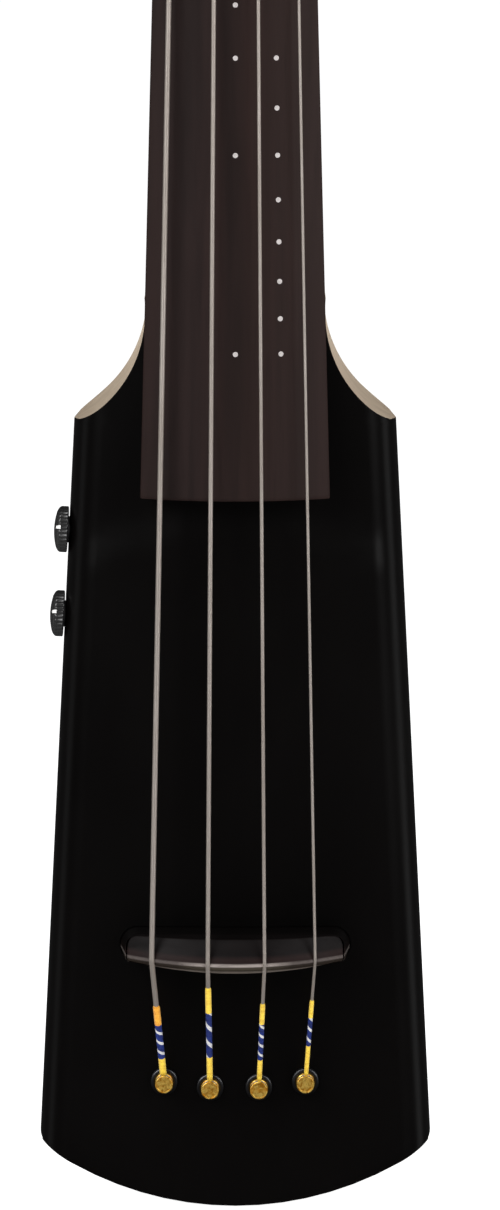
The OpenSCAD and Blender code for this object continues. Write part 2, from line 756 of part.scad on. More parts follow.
module jack_nut() {
    color([0.80, 0.80, 0.80]) difference() {
        translate([jack_x, 0, jack_z]) rotate([-90, 0, 0]) cylinder(r = 8, h = 2.6, $fn = 6);
        pin_y(jack_x, jack_z, -1, 4, 4.7);
    }
}

module jack_plate() {
    color([0.10, 0.10, 0.10]) difference() {
        box([jack_x - 18.8, -2, jack_z - 18.8], [jack_x + 18.8, 0, jack_z + 18.8]);
        pin_y(jack_x, jack_z, -3, 1, 4.7 + fit_gap);
        jack_screw_places() {
            pin_y(0, 0, -3, 1, 1.5);
            translate([0, 0.01, 0]) rotate([90, 0, 0]) cylinder(r1 = 2.8, r2 = 1.5, h = 1.3);
        }
    }
}

module jack_plate_screws() {
    color([0.2, 0.2, 0.2]) jack_screw_places() wood_screw(0, 0, 0, 2.7, 1.4, 12);
}

module stand_plate() {
    color([0.35, 0.35, 0.36]) difference() {
        union() {
            box([-26.9, -4, -24.9], [26.9, 0, 24.9]);
            pin_y(0, 0, -stand_depth - 4, -1, 11);
        }
        pin_y(0, 0, -stand_depth, 1, stand_r);
        stand_screw_places() {
            pin_y(0, 0, -5, 1, 2.1);
            translate([0, 0.01, 0]) rotate([90, 0, 0]) cylinder(r1 = 4.1, r2 = 2.1, h = 2);
        }
    }
}

module stand_plate_screws() {
    color([0.2, 0.2, 0.2]) stand_screw_places() wood_screw(0, 0, 0, 4, 2, 22);
}

// Places on the cheeks for the plate screws, with +X pointing out of the head
module tuner_screw_places() {
    for (side = [-1, 1])
        let (low = side < 0 ? roller_z[0] : roller_z[3])
        for (dz = [-24, 25, 75])
            for (y = [-52.5, -25.5])
                if (dz != 25 || y < -30)
                    translate([side * head_hw, y, low + dz]) rotate([0, 0, side < 0 ? 180 : 0]) children();
}

// One plate on each cheek, with two pairs of lugs that carry the worms
module tuner_plates() {
    color([0.75, 0.62, 0.35]) difference() {
        union() {
            for (side = [-1, 1]) {
                low = (side < 0 ? roller_z[0] : roller_z[3]) - 27;
                translate([side * (head_hw + plate_t / 2), -39, low + 52.5]) cube([plate_t, 34, 105], center = true);
            }
            for (i = [0:3])
                for (y = [-48, -28])
                    translate([roller_side[i] * (plate_x + 5), y, roller_z[i] - worm_drop])
                        cube([12, 5, 9], center = true);
        }
        for (i = [0:3]) {
            x = roller_side[i] * gear_x;
            pin_y(x, roller_z[i] - worm_drop, -60, -20, journal_r + run_gap);
            pin_x(roller_y, roller_z[i], x - 10, x + 10, axle_r + run_gap);
        }
        tuner_screw_places() pin_x(0, 0, -1, 3, 1.6);
    }
}

module tuner_plate_screws() {
    color([0.70, 0.58, 0.32]) tuner_screw_places() difference() {
        union() {
            pin_x(0, 0, -8, plate_t + 0.5, 1.5);
            pin_x(0, 0, plate_t, plate_t + 1.4, 2.7);
        }
        translate([plate_t + 1.4, 0, 0]) cube([1.4, 6, 0.7], center = true);
    }
}

// Radius of a worm at a distance along its pitch from the middle of the thread
function thread_r(d) =
    let (crest_r = worm_pitch_r + gear_m)
    let (root_r = worm_pitch_r - 1.27 * gear_m)
    d < 0.22 ? crest_r : d > 0.85 ? root_r : crest_r + (root_r - crest_r) * (d - 0.22) / 0.63;

// Right-hand worm along Y: a tooth gap faces the gear at mid-length
module worm(i) {
    steps = 12;
    turns = worm_l / worm_pitch;
    rows = floor(turns * steps);
    x = roller_side[i] * gear_x;
    z = roller_z[i] - worm_drop;
    color([0.72, 0.70, 0.66]) {
        translate([x, roller_y, z]) rotate([-90, 90, 0])
            ring_solid([for (j = [0:rows])
                let (h = (j - rows / 2) * worm_pitch / steps)
                [for (k = [0:steps - 1])
                    let (turn = k * 360 / steps)
                    let (phase = h / worm_pitch - turn / 360)
                    let (r = thread_r(abs(phase - round(phase)) * worm_pitch))
                    [r * cos(turn), r * sin(turn), h]]]);
        pin_y(x, z, -50, roller_y - worm_l / 2 + 1.5, journal_r);
        pin_y(x, z, roller_y + worm_l / 2 - 1.5, 2, journal_r);
    }
}

module tuner_key(i) {
    x = roller_side[i] * gear_x;
    z = roller_z[i] - worm_drop;
    color([0.72, 0.70, 0.66]) difference() {
        union() {
            pin_y(x, z, -20, 4, 3.6);
            pin_y(x, z, -20, -16, 4.6);
            translate([x, 0, z]) rotate([90, 0, 90]) linear_extrude(4.4, center = true) {
                for (side = [-1, 1]) translate([9, side * 8.5]) circle(r = 7);
                translate([0, -6]) square([12, 12]);
                translate([9, 0]) square([13, 17], center = true);
            }
        }
        pin_y(x, z, -21, 2, journal_r);
    }
}

module roller(i) {
    side = roller_side[i];
    color([0.66, 0.66, 0.67]) difference() {
        translate([0, roller_y, roller_z[i]]) rotate([0, side * 90, 0]) {
            translate([0, 0, -head_hw]) cylinder(r = axle_r, h = head_hw + gear_x - gear_w / 2);
            translate([0, 0, -slot_hw + 0.5]) cylinder(r = drum_r, h = 2 * slot_hw - 1);
            cylinder(r = 3, h = gear_x + gear_w / 2 + 1);
        }
        pin_y(-winding_x[i], roller_z[i], roller_y - 10, roller_y + 10, 1.4);
    }
}

// Spur gear cut for the worm, with one tooth straight down
module gear(i) {
    tooth = 360 / gear_teeth;
    root_r = gear_pitch_r - 1.27 * gear_m;
    tip_r = gear_pitch_r + gear_m;
    color([0.78, 0.62, 0.32]) translate([roller_side[i] * gear_x, roller_y, roller_z[i]])
        rotate([0, 90, 0]) difference() {
            linear_extrude(gear_w, center = true)
                polygon([for (n = [0:gear_teeth - 1])
                    for (corner = [[root_r, -5.0], [tip_r, -1.3], [tip_r, 1.3], [root_r, 5.0]])
                        let (a = n * tooth + corner[1])
                        [corner[0] * cos(a), corner[0] * sin(a)]]);
            cylinder(r = 3, h = 3 * gear_w, center = true);
        }
}

// Turns of string on the drum, beside the place where the string comes in
module winding(i) {
    r = string_r[i];
    away = winding_x[i] < 0 ? 1 : -1;
    color([0.58, 0.56, 0.53])
        translate([winding_x[i] + away * (2 * r + 0.3), roller_y, roller_z[i]]) rotate([0, 90, 0])
            rotate_extrude() difference() {
                union() {
                    for (n = [0:2]) translate([drum_r + r, away * n * 1.96 * r]) circle(r = r, $fn = 24);
                    translate([drum_r, away > 0 ? 0 : -3.92 * r]) square([0.8 * r, 3.92 * r]);
                }
                translate([0, -20]) square([drum_r + 0.001, 40]);
            }
}

module tuner_worm_e() { worm(0); }
module tuner_worm_a() { worm(1); }
module tuner_worm_d() { worm(2); }
module tuner_worm_g() { worm(3); }
module tuner_key_e() { tuner_key(0); }
module tuner_key_a() { tuner_key(1); }
module tuner_key_d() { tuner_key(2); }
module tuner_key_g() { tuner_key(3); }
module tuner_roller_e() { roller(0); }
module tuner_roller_a() { roller(1); }
module tuner_roller_d() { roller(2); }
module tuner_roller_g() { roller(3); }
module tuner_gear_e() { gear(0); }
module tuner_gear_a() { gear(1); }
module tuner_gear_d() { gear(2); }
module tuner_gear_g() { gear(3); }
module string_winding_e() { winding(0); }
module string_winding_a() { winding(1); }
module string_winding_d() { winding(2); }
module string_winding_g() { winding(3); }

body();
neck();
fingerboard();
nut();
position_dots();
truss_rod();
truss_rod_nut();
bridge();
bridge_inserts();
bridge_bolts();
pickup_elements();
pickup_cables();
string_anchors();
ball_ends();
string_e();
string_a();
string_d();
string_g();
string_silks();
control_cover();
control_cover_screws();
potentiometers();
pot_washers();
pot_nuts();
circuit_board();
wiring();
volume_shaft();
volume_knob();
tone_shaft();
tone_knob();
knob_set_screw_volume();
knob_set_screw_tone();
jack_body();
jack_nut();
jack_plate();
jack_plate_screws();
stand_plate();
stand_plate_screws();
tuner_plates();
tuner_plate_screws();
tuner_worm_e();
tuner_worm_a();
tuner_worm_d();
tuner_worm_g();
tuner_key_e();
tuner_key_a();
tuner_key_d();
tuner_key_g();
tuner_roller_e();
tuner_roller_a();
tuner_roller_d();
tuner_roller_g();
tuner_gear_e();
tuner_gear_a();
tuner_gear_d();
tuner_gear_g();
string_winding_e();
string_winding_a();
string_winding_d();
string_winding_g();
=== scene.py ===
"""Looks of an electric upright bass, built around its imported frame.

Metres. The origin is the mouth of the stand hole, +Z runs up the neck, the front faces -Y.
"""
import math

import bmesh
import bpy
import numpy as np
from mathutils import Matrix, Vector


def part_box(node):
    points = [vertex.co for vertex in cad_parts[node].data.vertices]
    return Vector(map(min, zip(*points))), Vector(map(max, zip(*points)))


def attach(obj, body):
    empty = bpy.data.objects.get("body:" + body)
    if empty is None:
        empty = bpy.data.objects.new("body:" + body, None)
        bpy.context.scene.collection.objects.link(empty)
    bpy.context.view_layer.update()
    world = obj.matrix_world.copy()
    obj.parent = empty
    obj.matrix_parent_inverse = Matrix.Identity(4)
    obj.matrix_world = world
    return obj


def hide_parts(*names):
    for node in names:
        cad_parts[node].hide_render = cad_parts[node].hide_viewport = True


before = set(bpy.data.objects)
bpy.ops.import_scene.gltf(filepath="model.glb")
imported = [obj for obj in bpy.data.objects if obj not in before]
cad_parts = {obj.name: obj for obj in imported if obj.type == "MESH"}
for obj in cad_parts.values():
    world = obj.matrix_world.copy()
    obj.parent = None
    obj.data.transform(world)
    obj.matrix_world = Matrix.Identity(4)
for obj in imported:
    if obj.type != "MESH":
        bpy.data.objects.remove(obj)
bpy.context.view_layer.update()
scene = bpy.context.scene
MM = 0.001
TAU = 2 * math.pi
CORNERS = ((-1, -1), (1, -1), (1, 1), (-1, 1))


def mm(*values):
    """Millimetres as metres: numbers, or points of numbers."""
    return [tuple(mm(*v)) if isinstance(v, tuple) else v * MM for v in values]



# Planes and lines taken from the frame
body_low, body_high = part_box("body")
board_low, board_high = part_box("fingerboard")
front_y = body_low.y
body_t = -front_y
bottom_z = body_low.z
heel_z = body_high.z
glue_y = board_high.y
board_z = board_low.z
nut_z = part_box("nut")[0].z
neck_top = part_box("neck")[1].z
wall_y = front_y / 2

# Body outline
shoulder_hw = 73 * MM
shoulder_z = 180 * MM
corner_z = -148 * MM
wall_slope = (89.2 * MM - shoulder_hw) / (shoulder_z - corner_z)
wall_tilt = math.atan(wall_slope)
bottom_r = 157 * MM
bottom_axis_z = bottom_z + bottom_r
scoop_r = 57 * MM
scoop_x = scoop_r + 40.5 * MM
scoop_z = 233 * MM
scoop_lean = math.tan(math.radians(4.6))
crown_r = 600 * MM
side_round = 14 * MM
edge_r = 1.3 * MM

# Strings in the order E, A, D, G
string_r = mm(1.2, 1.0, 0.8, 0.65)
bridge_x = mm(-37.4, -12.2, 13.2, 35.9)
nut_x = mm(-17.2, -5.1, 6.2, 17.2)
anchor_x = mm(-32.2, -11.4, 10.7, 31.8)
anchor_z = mm(-118.2, -120.9, -120.9, -118.2)
winding_x = mm(-11, -4, 5, 11)
roller_z = [nut_z + up * MM for up in (45, 105, 130, 70)]
roller_side = [-1, -1, 1, 1]
roller_y = -38 * MM
drum_r = 6.5 * MM
silk_span = [(0.40, 0.96), (0.19, 0.97), (0.335, 0.98), (0.35, 0.96)]
silk_blue = [(0.31, 0.85), (0.29, 0.80), (0.28, 0.78), (0.26, 0.68)]
silk_pitch = mm(5.4, 9.4, 5.4, 5.9)
tail_reach = 5.6 * MM
waist_r = 3 * MM
silk_t = 0.35 * MM

# Bridge
crest_z = -58.7 * MM
crest_y = front_y - 35 * MM
bridge_crown_r = 97 * MM
crown_axis_y = crest_y + bridge_crown_r
crown_lean = math.radians(9)
bridge_hw = 52 * MM
bridge_t = 16 * MM
belly_r = 405 * MM
bridge_mid_z = crest_z - 5 * MM + bridge_t / 2
bridge_floor = front_y + 4 * MM

# Board
board_r = 85 * MM
board_end_y = glue_y - 17.5 * MM
board_nut_y = glue_y - 10.5 * MM

# Controls
knob_z = mm(130.5, 92)


def crest_bow(x):
    """How far the crest lies towards the head at x, because the crown's axis leans."""
    return math.tan(crown_lean) * x ** 2 / (2 * bridge_crown_r)


# ---------------------------------------------------------------- materials
class Look:
    """A node-based material that is built step by step around one Principled shader."""

    def __init__(self, name):
        self.material = bpy.data.materials.new(name)
        self.material.use_nodes = True
        self.tree = self.material.node_tree
        self.shader = self.tree.nodes["Principled BSDF"]
        self.place = self.add("ShaderNodeTexCoord").outputs["Object"]

    def add(self, kind, **settings):
        node = self.tree.nodes.new(kind)
        for key, value in settings.items():
            setattr(node, key, value)
        return node

    def join(self, source, target):
        self.tree.links.new(source, target)

    def stretched(self, stretch):
        node = self.add("ShaderNodeMapping")
        node.inputs["Scale"].default_value = stretch
        self.join(self.place, node.inputs["Vector"])
        return node.outputs["Vector"]

    def noise(self, scale, stretch=(1, 1, 1), detail=4.0, roughness=0.55, distortion=0.0):
        node = self.add("ShaderNodeTexNoise")
        node.inputs["Scale"].default_value = scale
        node.inputs["Detail"].default_value = detail
        node.inputs["Roughness"].default_value = roughness
        node.inputs["Distortion"].default_value = distortion
        self.join(self.stretched(stretch), node.inputs["Vector"])
        return node.outputs["Fac"]

    def bands(self, pitch, axis="Z", distortion=0.0):
        """Ridges with one top every pitch metres along an axis."""
        node = self.add("ShaderNodeTexWave", wave_type="BANDS", bands_direction=axis)
        node.inputs["Scale"].default_value = TAU / (20 * pitch)
        node.inputs["Distortion"].default_value = distortion
        self.join(self.place, node.inputs["Vector"])
        return node.outputs["Fac"]

    def remap(self, value, low_in, high_in, low, high):
        node = self.add("ShaderNodeMapRange")
        for socket, number in zip(("From Min", "From Max", "To Min", "To Max"), (low_in, high_in, low, high)):
            node.inputs[socket].default_value = number
        self.join(value, node.inputs["Value"])
        return node.outputs["Result"]

    def times(self, first, second):
        node = self.add("ShaderNodeMath", operation="MULTIPLY")
        self.join(first, node.inputs[0])
        self.join(second, node.inputs[1])
        return node.outputs["Value"]

    def blend(self, factor, first, second):
        """A colour between two colours, or between a colour socket and a colour."""
        node = self.add("ShaderNodeMix", data_type="RGBA")
        self.join(factor, node.inputs["Factor"])
        for socket, colour in ((node.inputs[6], first), (node.inputs[7], second)):
            if isinstance(colour, tuple):
                socket.default_value = (*colour, 1)
            else:
                self.join(colour, socket)
        return node.outputs[2]

    def bump(self, height, strength, distance, under=None):
        node = self.add("ShaderNodeBump")
        node.inputs["Strength"].default_value = strength
        node.inputs["Distance"].default_value = distance
        self.join(height, node.inputs["Height"])
        if under is not None:
            self.join(under, node.inputs["Normal"])
        return node.outputs["Normal"]

    def finish(self, colour, roughness, normal, metallic=0.0, sheen=0.0, specular=0.5):
        self.join(colour, self.shader.inputs["Base Color"])
        self.join(roughness, self.shader.inputs["Roughness"])
        self.join(normal, self.shader.inputs["Normal"])
        self.shader.inputs["Metallic"].default_value = metallic
        self.shader.inputs["Sheen Weight"].default_value = sheen
        self.shader.inputs["Specular IOR Level"].default_value = specular
        return self.material


def wood_look(name, light, dark, streak, rough, grain_axis="Z", pore=0.35, specular=0.4):
    """Long streaks along the grain, fine pores and a slow change of tone."""
    look = Look(name)
    squeeze = {"X": (0.06, 1, 1), "Z": (1, 1, 0.06)}[grain_axis]
    fine = {"X": (0.03, 1, 1), "Z": (1, 1, 0.03)}[grain_axis]
    streaks = look.noise(90, squeeze, detail=6, distortion=0.6)
    pores = look.noise(1400, fine, detail=2)
    tone = look.noise(14, squeeze, detail=2)
    base = look.blend(look.remap(streaks, 0.35, 0.68, 0, 1), light, dark)
    base = look.blend(look.remap(tone, 0.4, 0.75, 0, 0.6), base, streak)
    base = look.blend(look.remap(pores, 0.58, 0.75, 0, pore), base, dark)
    roughness = look.remap(streaks, 0.3, 0.7, rough - 0.05, rough + 0.07)
    normal = look.bump(pores, 0.25, 0.08 * MM, look.bump(streaks, 0.2, 0.15 * MM))
    return look.finish(base, roughness, normal, specular=specular)


def bridge_look(name):
    """Ebony with its grain across: charcoal above, redder along the head side of the crest, painted shade on
    the walls and painted highlights on the crest, below it and at the ends.
    """
    look = Look(name)
    streaks = look.noise(150, (0.05, 1, 1), detail=6, distortion=0.6)
    pores = look.noise(1600, (0.03, 1, 1), detail=2)
    parts = look.add("ShaderNodeSeparateXYZ")
    look.join(look.place, parts.inputs["Vector"])
    square = look.times(parts.outputs["X"], parts.outputs["X"])
    bow = look.remap(square, 0, 0.0025, 0, crest_bow(0.05))
    above = look.add("ShaderNodeMath", operation="SUBTRACT")
    look.join(parts.outputs["Z"], above.inputs[0])
    look.join(bow, above.inputs[1])
    height = above.outputs["Value"]
    base = look.blend(look.remap(streaks, 0.35, 0.68, 0, 1), (0.0070, 0.0054, 0.0054), (0.0038, 0.0028, 0.0028))

    def along(start, full, high=1.0):
        """Grows between two heights above the crest, in millimetres."""
        return look.remap(height, crest_z + start * MM, crest_z + full * MM, 0, high)

    def beside(start, full, low, high):
        """Changes between two distances from the middle, in millimetres."""
        return look.remap(square, (start * MM) ** 2, (full * MM) ** 2, low, high)

    # Masks across the bridge for the painted highlights: the middle, all but the ends, and the ends.
    middle, inner, ends = beside(26, 12, 0.22, 0.9), beside(41, 38, 0, 1), beside(47.6, 48.0, 0, 0.9)
    near_top = look.remap(parts.outputs["Y"], front_y - 5 * MM, front_y - 7 * MM, 0, 1)
    # Mask for painted shade on the walls nearer the body than the top's ends.
    walls = look.remap(parts.outputs["Y"], crest_y + 18.8 * MM, crest_y + 19.6 * MM, 0, 0.85)
    # Near black, used for painted shade.
    shadow = (0.0016, 0.0012, 0.0011)
    # Painted shade: the head-side wall past the top's edge is made near black.
    layers = [(shadow, along(10.6, 11.6, 0.85)),
              ((0.0180, 0.0100, 0.0092), along(4.2, 2.6, 0.85)),
              ((0.011, 0.0075, 0.0060), along(-0.1, -0.8, 0.8)),
              # Painted shade: the walls near the body are made near black.
              (shadow, walls),
              # Painted highlight: a pale line along the crest, strongest in the middle.
              ((0.30, 0.26, 0.24), middle, along(1.0, 0.5), along(-0.9, -0.4)),
              # Painted highlight: a paler band just below the crest, in the middle.
              ((0.044, 0.036, 0.026), middle, along(-0.6, -1.0), near_top),
              # Painted highlight: the tail side from about 4 mm below the crest is lightened, which shows as a
              # thin pale lower line.
              ((0.16, 0.135, 0.12), inner, along(-3.7, -4.1, 0.5), near_top),
              # Painted glints: pale corners at both ends, below the crest.
              ((0.50, 0.45, 0.42), ends, along(-2.3, -2.8), near_top)]
    for colour, factor, *masks in layers:
        for mask in masks:
            factor = look.times(factor, mask)
        base = look.blend(factor, base, colour)
    base = look.blend(look.remap(pores, 0.55, 0.75, 0, 0.5), base, (0.006, 0.004, 0.004))
    roughness = look.remap(streaks, 0.3, 0.7, 0.42, 0.54)
    normal = look.bump(pores, 0.25, 0.08 * MM, look.bump(streaks, 0.2, 0.15 * MM))
    return look.finish(base, roughness, normal, specular=0.09)


def lacquer_look(name):
    """Black satin lacquer: almost even, with a faint peel, fine haze and sparse dust."""
    look = Look(name)
    peel = look.noise(420, detail=2)
    haze = look.noise(18, (1, 1, 0.5), detail=5)
    dust = look.noise(2600, detail=1)
    base = look.blend(haze, (0.0009, 0.0007, 0.0007), (0.0018, 0.0014, 0.0013))
    roughness = look.remap(haze, 0.3, 0.7, 0.28, 0.34)
    normal = look.bump(dust, 0.06, 0.03 * MM, look.bump(peel, 0.12, 0.06 * MM))
    return look.finish(base, roughness, normal, specular=0.2)


def moulded_look(name, colour, rough=0.45, grain=1500.0, depth=0.12, specular=0.4):
    """Moulded or powder-coated surface with a fine texture."""
    look = Look(name)
    texture = look.noise(grain, detail=3)
    cloud = look.noise(60, detail=3)
    lighter = tuple(min(1.0, 1.35 * c + 0.004) for c in colour)
    base = look.blend(cloud, colour, lighter)
    roughness = look.remap(cloud, 0.3, 0.7, rough - 0.06, rough + 0.08)
    return look.finish(base, roughness, look.bump(texture, 0.3, depth * MM), specular=specular)


def metal_look(name, colour, worn, rough, brush=(1, 1, 1), scale=700.0):
    """Metal with brushed or turned lines, a slow change of tone and light wear."""
    look = Look(name)
    lines = look.noise(scale, brush, detail=4)
    patches = look.noise(70, detail=5, distortion=0.8)
    base = look.blend(look.remap(patches, 0.42, 0.72, 0, 1), colour, worn)
    roughness = look.remap(patches, 0.3, 0.7, rough - 0.06, rough + 0.10)
    normal = look.bump(lines, 0.22, 0.03 * MM)
    return look.finish(base, roughness, normal, metallic=1.0)


def cast_brass_look(name):
    """Rough bright brass: dimples and darker specks between shiny grains."""
    look = Look(name)
    dimples = look.noise(620, detail=3, distortion=0.6)
    patches = look.noise(300, detail=2)
    base = look.blend(look.remap(dimples, 0.38, 0.6, 0, 1), (0.50, 0.21, 0.012), (1.0, 0.68, 0.15))
    base = look.blend(look.remap(patches, 0.5, 0.75, 0, 0.7), base, (0.90, 0.40, 0.03))
    roughness = look.remap(dimples, 0.3, 0.7, 0.42, 0.30)
    return look.finish(base, roughness, look.bump(dimples, 0.6, 0.3 * MM), metallic=0.8)


def wound_look(name):
    """Flat-wound string: a ribbon of steel every third of a millimetre, dulled by handling."""
    look = Look(name)
    ribbon = look.bands(0.34 * MM)
    handled = look.noise(45, (1, 1, 0.4), detail=5)
    base = look.blend(look.remap(handled, 0.35, 0.7, 0, 1), (0.56, 0.50, 0.455), (0.44, 0.385, 0.34))
    base = look.blend(look.remap(ribbon, 0.0, 0.25, 0.35, 0), base, (0.16, 0.14, 0.125))
    roughness = look.remap(handled, 0.3, 0.7, 0.36, 0.48)
    return look.finish(base, roughness, look.bump(ribbon, 0.5, 0.05 * MM), metallic=0.75)


def thread_look(name, colour, deep, sheen=0.25):
    """Silk wrap: fine threads side by side with a soft sheen."""
    look = Look(name)
    threads = look.bands(0.3 * MM, distortion=0.3)
    tone = look.noise(260, (1, 1, 3), detail=4)
    base = look.blend(look.remap(tone, 0.35, 0.7, 0, 1), colour, deep)
    base = look.blend(look.remap(threads, 0.0, 0.3, 0.5, 0), base, deep)
    roughness = look.remap(tone, 0.3, 0.7, 0.5, 0.65)
    return look.finish(base, roughness, look.bump(threads, 0.6, 0.08 * MM), sheen=sheen, specular=0.3)


def pearl_look(name, colour, warm):
    """Pearl inlay: soft clouds of two close tones under a polish."""
    look = Look(name)
    clouds = look.noise(900, detail=4, distortion=1.5)
    base = look.blend(look.remap(clouds, 0.35, 0.7, 0, 1), colour, warm)
    roughness = look.remap(clouds, 0.3, 0.7, 0.18, 0.28)
    return look.finish(base, roughness, look.bump(clouds, 0.1, 0.02 * MM), specular=0.5)


LOOKS = {
    "black_lacquer": lacquer_look("black_lacquer_look"),
    "natural_maple": wood_look("natural_maple_look", (0.56, 0.455, 0.335), (0.43, 0.335, 0.235),
                               (0.50, 0.41, 0.31), 0.42, pore=0.2),
    "ebony_board": wood_look("ebony_board_look", (0.0190, 0.0098, 0.0088), (0.0090, 0.0045, 0.0040),
                             (0.024, 0.0125, 0.0100), 0.5, specular=0.16),
    "ebony_bridge": bridge_look("ebony_bridge_look"),
    "ebony_nut": wood_look("ebony_nut_look", (0.016, 0.012, 0.011), (0.008, 0.006, 0.006),
                           (0.022, 0.014, 0.012), 0.35, grain_axis="X"),
    "pearl": pearl_look("pearl_look", (0.54, 0.50, 0.49), (0.38, 0.35, 0.34)),
    "truss_steel": metal_look("truss_steel_look", (0.42, 0.42, 0.44), (0.30, 0.29, 0.29), 0.42, (1, 1, 0.1)),
    "brass": metal_look("brass_look", (0.80, 0.56, 0.22), (0.62, 0.40, 0.15), 0.30, (1, 0.1, 1), 1200),
    "black_steel": metal_look("black_steel_look", (0.035, 0.035, 0.038), (0.02, 0.02, 0.021), 0.36, scale=900),
    "piezo": moulded_look("piezo_look", (0.52, 0.46, 0.33), 0.6),
    "cable_jacket": moulded_look("cable_jacket_look", (0.62, 0.60, 0.55), 0.5, 900),
    "wound_steel": wound_look("wound_steel_look"),
    "silk": thread_look("silk_yellow_look", (0.86, 0.62, 0.05), (0.62, 0.38, 0.02)),
    "black_plastic": moulded_look("black_plastic_look", (0.016, 0.016, 0.016), 0.5, 1300),
    "steel_screw": metal_look("steel_screw_look", (0.20, 0.20, 0.21), (0.11, 0.11, 0.11), 0.34),
    "zinc": metal_look("zinc_look", (0.62, 0.62, 0.64), (0.46, 0.45, 0.45), 0.32),
    "board_green": moulded_look("board_green_look", (0.012, 0.10, 0.035), 0.35, 500, 0.05),
    "hookup_wire": moulded_look("hookup_wire_look", (0.30, 0.015, 0.012), 0.42, 800, 0.04),
    "knob_black": moulded_look("knob_black_look", (0.016, 0.016, 0.016), 0.3, 2200, 0.03, specular=0.8),
    "nickel": metal_look("nickel_look", (0.74, 0.72, 0.68), (0.60, 0.57, 0.52), 0.2),
    "plate_steel": moulded_look("plate_steel_look", (0.045, 0.045, 0.048), 0.5, 1600, 0.08),
    "aged_brass": metal_look("aged_brass_look", (0.60, 0.43, 0.19), (0.34, 0.24, 0.12), 0.36, (0.2, 1, 1), 900),
    "tuner_nickel": metal_look("tuner_nickel_look", (0.66, 0.63, 0.57), (0.48, 0.45, 0.39), 0.28),
}
BALL_BRASS = cast_brass_look("ball_brass_look")
FERRULE_STEEL = metal_look("ferrule_steel_look", (0.11, 0.11, 0.115), (0.06, 0.06, 0.062), 0.3, scale=900)
SILK_ORANGE = thread_look("silk_orange_look", (0.86, 0.40, 0.02), (0.62, 0.24, 0.01))
SILK_BLUE = thread_look("silk_blue_look", (0.003, 0.022, 0.19), (0.002, 0.008, 0.08), sheen=0.05)
SILK_WHITE = thread_look("silk_white_look", (0.62, 0.61, 0.58), (0.42, 0.42, 0.46))
MARK_WHITE = moulded_look("mark_white_look", (0.80, 0.80, 0.78), 0.4, 900, 0.02)
BARE_MAPLE = wood_look("bare_maple_look", (0.69, 0.565, 0.425), (0.54, 0.43, 0.32),
                       (0.62, 0.50, 0.38), 0.5, pore=0.25)
STUDIO_WHITE = moulded_look("studio_white_look", (0.90, 0.90, 0.89), 0.7, 40, 0.02)


# ---------------------------------------------------------------- mesh tools
def directions(axis):
    """Two directions across an axis, and the axis, all of length 1."""
    w = np.array(axis, float) / np.linalg.norm(axis)
    reference = np.array((0, 0, 1.0)) if abs(w[2]) < 0.9 else np.array((1.0, 0, 0))
    u = np.cross(reference, w)
    u /= np.linalg.norm(u)
    return u, np.cross(w, u), w


def loft(rings, caps=True, loop=False):
    """Points and faces of a skin over rings with the same number of points."""
    n, m = len(rings[0]), len(rings)
    points = np.concatenate([np.asarray(ring, float) for ring in rings])
    faces = []
    for j in range(m if loop else m - 1):
        a, b = j * n, (j + 1) % m * n
        faces += [(a + k, a + (k + 1) % n, b + (k + 1) % n, b + k) for k in range(n)]
    if caps and not loop:
        faces.append(tuple(range(n - 1, -1, -1)))
        faces.append(tuple(range((m - 1) * n, m * n)))
    return points, faces


def lathe(profile, centre, axis, sides=64, loop=False):
    """A turned shape: the profile holds (radius, height) along the axis from the centre."""
    u, v, w = directions(axis)
    turn = np.arange(sides) * TAU / sides
    around = np.outer(np.cos(turn), u) + np.outer(np.sin(turn), v)
    return loft([np.array(centre) + max(r, 1e-7) * around + h * w for r, h in profile], loop=loop)


def tube(path, radii, sides=16, twist=0.0):
    """A tube along a path, with one radius a point. Twist turns the columns as the tube runs."""
    path = np.asarray(path, float)
    steps = np.gradient(path, axis=0)
    u = directions(steps[0])[0]
    rings = []
    for i, (point, step) in enumerate(zip(path, steps)):
        w = step / np.linalg.norm(step)
        u = u - w * np.dot(u, w)
        u /= np.linalg.norm(u)
        turn = np.arange(sides) * TAU / sides + twist * i
        rings.append(point + radii[i] * (np.outer(np.cos(turn), u) + np.outer(np.sin(turn), np.cross(w, u))))
    return loft(rings)


def rounded(corners, radius, steps=6):
    """A closed outline of arcs and lines from corner points, with one radius or one for each corner."""
    corners = [np.array(c, float) for c in corners]
    radii = radius if isinstance(radius, (list, tuple)) else [radius] * len(corners)
    outline = []
    for i, corner in enumerate(corners):
        before = corners[i - 1] - corner
        after = corners[(i + 1) % len(corners)] - corner
        reach_in, reach_out = np.linalg.norm(before), np.linalg.norm(after)
        before, after = before / reach_in, after / reach_out
        half = math.acos(np.clip(np.dot(before, after), -1, 1)) / 2
        cut = min(radii[i] / math.tan(half), 0.49 * reach_in, 0.49 * reach_out)
        r = cut * math.tan(half)
        if cut < 1e-6 or abs(half - math.pi / 2) < 0.01:
            outline.append(corner)
            continue
        middle = corner + (before + after) / np.linalg.norm(before + after) * r / math.sin(half)
        start, end = corner + before * cut - middle, corner + after * cut - middle
        a0 = math.atan2(start[1], start[0])
        sweep = (math.atan2(end[1], end[0]) - a0 + math.pi) % TAU - math.pi
        outline += [middle + r * np.array((math.cos(a0 + sweep * k / steps), math.sin(a0 + sweep * k / steps)))
                    for k in range(steps + 1)]
    return np.array(outline)


def circle(x, z, r, sides=48):
    turn = np.arange(sides) * TAU / sides
    return np.column_stack((x + r * np.cos(turn), z + r * np.sin(turn)))


